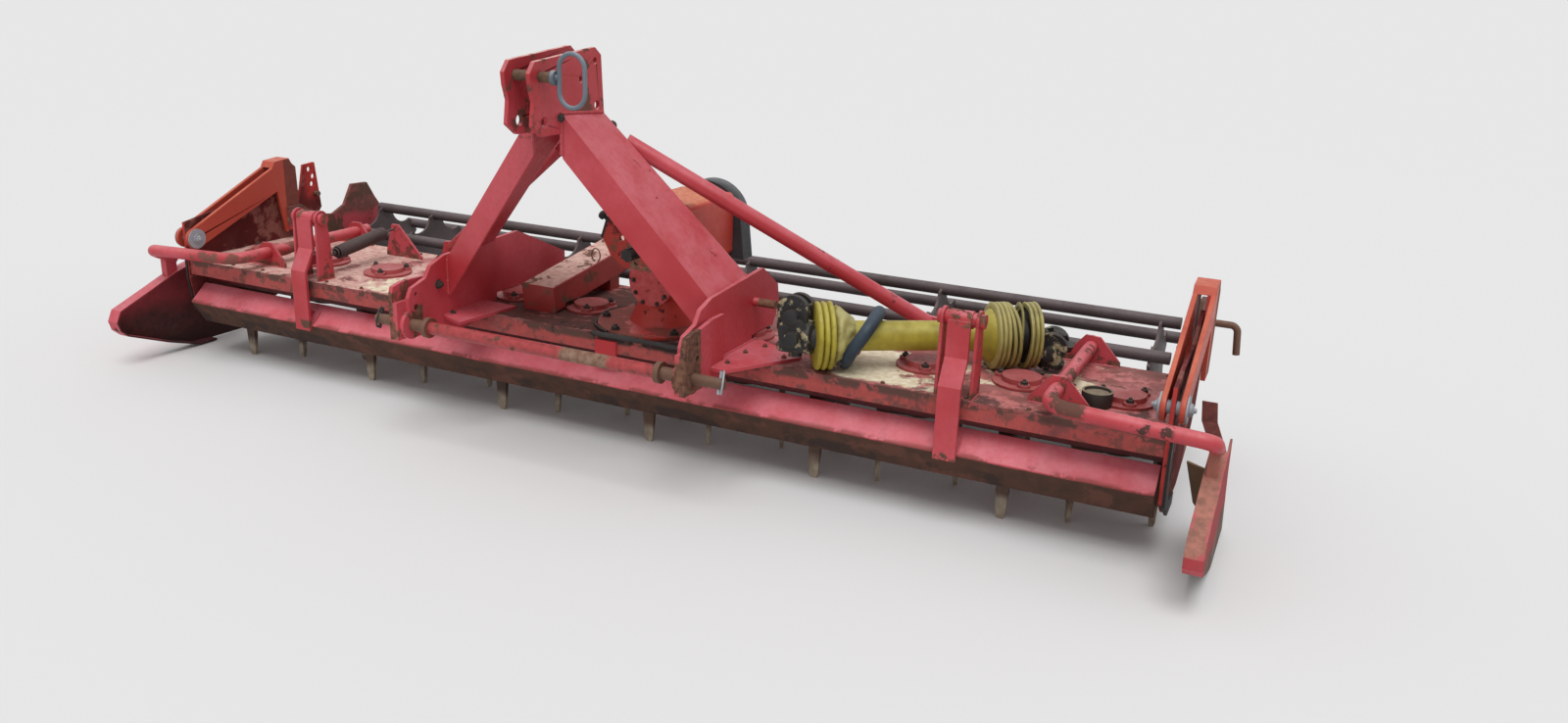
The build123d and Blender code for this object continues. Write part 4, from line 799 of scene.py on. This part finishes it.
# Guard tube, with a flare near its right end
guardLook = {"start": 30, "end": -90, "radius": 37.6, "rings": 24,
             "flare": [(-96, 37.8), (-84, 42), (-70, 58), (-58, 68), (-52, 68)]}
guard = bmesh.new()
step = (shaftLong + guardLook["end"] - guardLook["start"]) / guardLook["rings"]
tubeLine = [(guardLook["start"] + n * step, guardLook["radius"]) for n in range(guardLook["rings"] + 1)]
skin(guard, tubeLine, crumple=0.5, seed=3.0, sides=40)
skin(guard, fromRight(guardLook["flare"]), crumple=1.0, seed=5.0, sides=44)
addPiece(guard, "guard_tube", "frame", "guard_plastic", ["shaft_guard"], angle=50)

# Left bellows and the torn sleeve on it, with a hole; ribs by start, count, pitch, high and low radius
bellowsLook = {"ribs": (-48, 3, 15.5, 85.0, 71.0),
               "sleeve": [(-2, 70), (4, 75), (9, 73), (14, 71), (20, 66), (26, 62), (32, 56), (38, 52),
                          (43, 47), (48, 44), (45, 38)],
               "hole": [(8, 0), (10, 4), (8.5, 9.5), (4, 11)], "holeAlong": 0.0105, "holeDeep": 0.066,
               "holeWay": (0.62, -0.78)}
leftBellows = bmesh.new()
skin(leftBellows, ribs(*bellowsLook["ribs"]), crumple=2.2, seed=9.0)
addPiece(leftBellows, "left_bellows", "frame", "guard_plastic", angle=50)
hole = bmesh.new()
sideShare, upShare = bellowsLook["holeWay"]
holeWay = (shaftSide * sideShare + zWay * upShare).normalized()
holeSpot = shaftLeft + shaftWay * bellowsLook["holeAlong"] + holeWay * bellowsLook["holeDeep"]
turned(hole, holeSpot, holeWay, bellowsLook["hole"], sides=12)
addPiece(hole, "bellows_hole", "frame", "black_steel")
palePlastic = wornSteel("palePlastic", finishes["guard_plastic"] | {
    "deep": (0.30, 0.25, 0.075), "faded": (0.48, 0.42, 0.15), "chalkAndSheen": (0.56, 0.51, 0.26),
    "dirt": (0.10, 0.08, 0.035), "grime": 0.55})
sleeve = bmesh.new()
skin(sleeve, bellowsLook["sleeve"], crumple=9.0, seed=14.0, lean=(2.0, 3.0))
addPiece(sleeve, "torn_sleeve", "frame", "guard_plastic", angle=60, paint=palePlastic)

# Right bellows: joined ribs, loops torn loose by place, width and lean, the last ribs and the dark core
splitLook = {"joined": (-58, 3, 11.5, 85.0, 71.0), "last": (37, 2, 11.5, 84.0, 66.0),
             "loopRadii": (72.0, 82.0, 84.5, 82.0, 72.0),
             "loose": [(-18, 8.0, (3.0, -3.0)), (-9, 7.5, (8.0, -4.0)), (11, 4.0, (-11.0, 5.0)),
                       (31, 7.5, (-3.0, 2.0))],
             "core": [(-25.5, 68), (-22, 68), (-20, 46), (8, 40), (30, 44), (34, 73), (38, 73)]}
rightBellows = bmesh.new()
skin(rightBellows, fromRight(ribs(*splitLook["joined"])), crumple=1.6, seed=2.0)
for n, (along, wide, lean) in enumerate(splitLook["loose"]):
    stations = (along - wide / 2, along - wide / 2, along, along + wide / 2, along + wide / 2)
    loop = fromRight(zip(stations, splitLook["loopRadii"]))
    skin(rightBellows, loop, crumple=1.8, seed=20.0 + n, lean=lean, closeUp=True)
skin(rightBellows, fromRight(ribs(*splitLook["last"])), crumple=2.0, seed=7.0, lean=(-2.0, 2.0))
addPiece(rightBellows, "right_bellows", "frame", "guard_plastic", angle=50, paint=palePlastic)
core = bmesh.new()
skin(core, fromRight(splitLook["core"]), crumple=3.0, seed=31.0, sides=28)
addPiece(core, "shaft_core", "frame", "black_steel")

# Universal joints at both ends of the shaft: ears with eyes, cross and hub, in flaking tan and black
yokeLook = {"earOut": 0.034, "earTall": 30, "earSizes": ((62, 17.0), (58, 15.0)),
            "cross": [(-52, 10.0), (-50, 14.0), (50, 14.0), (52, 10.0)],
            "hub": [(40, -6), (44, 2), (42, 12), (29, 18)], "hubRadius": 29.0, "hubTip": 24,
            "hubBack": 0.030,
            "upper": [((594, -204, 452), -1, 68, 16), ((594, -150, 452), 1, 64, 14)], "upperTall": 60,
            "joints": [("left_joint", (600, -187, 404), (-1.0, -0.12, -0.02), (0.10, 0, 1), 44),
                       ("right_joint", (1160, 128, 378), (0.93, 0.16, -0.34), (0.34, 0.0, 0.94), 40)]}
yokePaint = wornSteel("yokePaint", castIron | {
    "deep": (0.010, 0.010, 0.010), "faded": (0.028, 0.027, 0.027), "patches": [
        area((0.46, 0.40, 0.25), (0.22, 0.17, 0.09), share=0.27, scale=24.0, ragged=8)]})


# An ear by shares of its width: half axes and rise of its tip, and radii of its eye, each with the
# share of the thickness and the millimetres at which it lies
earLook = {"tipWide": 0.60, "tipHigh": 0.52, "rise": 0.32, "tipArc": (-10, 210), "tipSteps": 14,
           "eye": [(0.28, -1, -2), (0.30, 0, 0), (0.30, 1, 4), (0.2, 1, 6)], "eyeShift": 0.002}


def ear(bm, middle, outward, up, tall, wide, thick):
    # plate with a rounded tip and an eye, its foot below the middle
    across = outward.cross(up).normalized()
    outline = circle(middle + up * earLook["rise"] * wide / 1000, across * earLook["tipWide"],
                     up * earLook["tipHigh"], wide, earLook["tipSteps"], *earLook["tipArc"])
    for sign in (-1, 1):
        outline.append(middle + across * sign * wide / 2000 - up * tall / 1000)
    plate(bm, outline, thick)
    eye = [(share * wide, part * thick + more) for share, part, more in earLook["eye"]]
    turned(bm, middle + (up - outward) * earLook["eyeShift"], outward, eye)


def joint(name, middle, way, up, reach):
    # fork on the shaft side, cross in its middle, and the outer fork turned by a quarter
    bm = bmesh.new()
    way, up = way.normalized(), (up - way * up.dot(way)).normalized()
    side = way.cross(up).normalized()
    (innerWide, innerThick), (outerWide, outerThick) = yokeLook["earSizes"]
    for sign in (-1, 1):
        out = sign * yokeLook["earOut"]
        ear(bm, middle + side * out, side * sign, up, yokeLook["earTall"], innerWide, innerThick)
        ear(bm, middle + up * out, up * sign, way, yokeLook["earTall"], outerWide, outerThick)
    for along in (side, up):
        rod(bm, middle, along, yokeLook["cross"], sides=16)
    hub = yokeLook["hub"] + [(yokeLook["hubRadius"], reach), (yokeLook["hubTip"], reach + 3)]
    turned(bm, middle - way * yokeLook["hubBack"], -way, hub, sides=28)
    addPiece(bm, name, "frame", "black_steel", ["shaft_yokes"], angle=32, paint=yokePaint)


upperEar = bmesh.new()
for place, sign, wide, thick in yokeLook["upper"]:
    ear(upperEar, at(*place), yWay * sign, zWay, yokeLook["upperTall"], wide, thick)
addPiece(upperEar, "left_joint_ears", "frame", "black_steel", angle=32, paint=yokePaint)
for name, place, way, up, reach in yokeLook["joints"]:
    joint(name, at(*place), Vector(way), Vector(up), reach)
print("drive shaft done")

# Dusty rubber ring, slightly out of round
ringLook = {"along": 74.0, "major": 75.0, "minor": 16.6, "way": (0.85, 0.16, -0.5), "deck": 320.3,
            "steps": 64, "wave": 0.0012, "waves": 3}
ringWay = Vector(ringLook["way"]).normalized()
ringRise = ringLook["minor"] + ringLook["major"] * math.sqrt(1 - ringWay.z ** 2)
ringMiddle = shaftLeft + shaftWay * ringLook["along"] / 1000
ringMiddle.z = (ringLook["deck"] + ringRise) / 1000
ringSide = ringWay.cross(zWay).normalized()
ringPoints = circle(ringMiddle, ringSide, ringSide.cross(ringWay), ringLook["major"], ringLook["steps"])
for n, point in enumerate(ringPoints):
    point += ringWay * ringLook["wave"] * math.sin(ringLook["waves"] * math.tau * n / ringLook["steps"])
rubber = bmesh.new()
tube(rubber, ringPoints, ringLook["minor"], sides=20, closed=True)
addPiece(rubber, "dusty_ring", "frame", "ring_rubber", ["rubber_ring"], angle=60)
print("ring done")

# Studio: pale floor, one wide soft lamp and an even sky; far off, floor and sky take one tone
studio = {"floorSize": 600.0, "floorTone": (0.745, 0.745, 0.745), "floorRough": 0.95, "floorGloss": 0.1,
          "fadeFrom": 3.0, "fadeTo": 9.0, "skyTone": (1.0, 1.0, 1.0), "skyStrength": 0.60,
          "lampStrength": 1.65, "lampAngle": 38.0, "lampPlace": (700, -1600, 4200),
          "lampTarget": (0, 0, 300), "showTone": (0.80, 0.80, 0.80)}
floorMesh = bmesh.new()
half = studio["floorSize"] / 2
corners = [(x * half, y * half, 0) for x, y in ((-1, -1), (1, -1), (1, 1), (-1, 1))]
floorMesh.faces.new([floorMesh.verts.new(corner) for corner in corners])
mesh = bpy.data.meshes.new("floor")
floorMesh.to_mesh(mesh)
floorMesh.free()
floor = bpy.data.objects.new("floor", mesh)
scene.collection.objects.link(floor)


def studioLook(tree, shaded, output):
    # what the camera, glossy and clear surfaces see is the plain pale tone; the rest stays as it is lit
    rays = addNode(tree, "ShaderNodeLightPath").outputs
    mirrored = mathNode(tree, "MAXIMUM", rays["Is Glossy Ray"], rays["Is Transmission Ray"])
    seen = mathNode(tree, "MAXIMUM", rays["Is Camera Ray"], mirrored)
    plain = addNode(tree, "ShaderNodeBackground", {0: (*studio["showTone"], 1)})
    mix = addNode(tree, "ShaderNodeMixShader", {0: seen, 1: shaded, 2: plain.outputs[0]})
    tree.links.new(mix.outputs[0], output)


floorPaint = bpy.data.materials.new("floorPaint")
floorPaint.use_nodes = True
tree = floorPaint.node_tree
shader = tree.nodes["Principled BSDF"]
shader.inputs["Base Color"].default_value = (*studio["floorTone"], 1)
shader.inputs["Roughness"].default_value = studio["floorRough"]
shader.inputs["Specular IOR Level"].default_value = studio["floorGloss"]
spot = addNode(tree, "ShaderNodeTexCoord").outputs["Object"]
away = ramp(tree, vectorNode(tree, "LENGTH", {0: spot}, "Value"), studio["fadeFrom"], studio["fadeTo"])
glow = addNode(tree, "ShaderNodeEmission", {0: (*studio["showTone"], 1)})
fade = addNode(tree, "ShaderNodeMixShader", {0: away, 1: shader.outputs[0], 2: glow.outputs[0]})
tree.links.new(fade.outputs[0], tree.nodes["Material Output"].inputs[0])
floor.data.materials.append(floorPaint)

scene.world = bpy.data.worlds.new("sky")
scene.world.use_nodes = True
tree = scene.world.node_tree
sky = tree.nodes["Background"]
sky.inputs[0].default_value = (*studio["skyTone"], 1)
sky.inputs[1].default_value = studio["skyStrength"]
studioLook(tree, sky.outputs[0], tree.nodes["World Output"].inputs[0])

lamp = bpy.data.objects.new("lamp", bpy.data.lights.new("lamp", "SUN"))
scene.collection.objects.link(lamp)
lamp.data.angle = math.radians(studio["lampAngle"])
lamp.data.energy = studio["lampStrength"]
lamp.location = at(*studio["lampPlace"])
lamp.rotation_euler = (at(*studio["lampTarget"]) - lamp.location).to_track_quat("-Z", "Y").to_euler()
print("studio done")
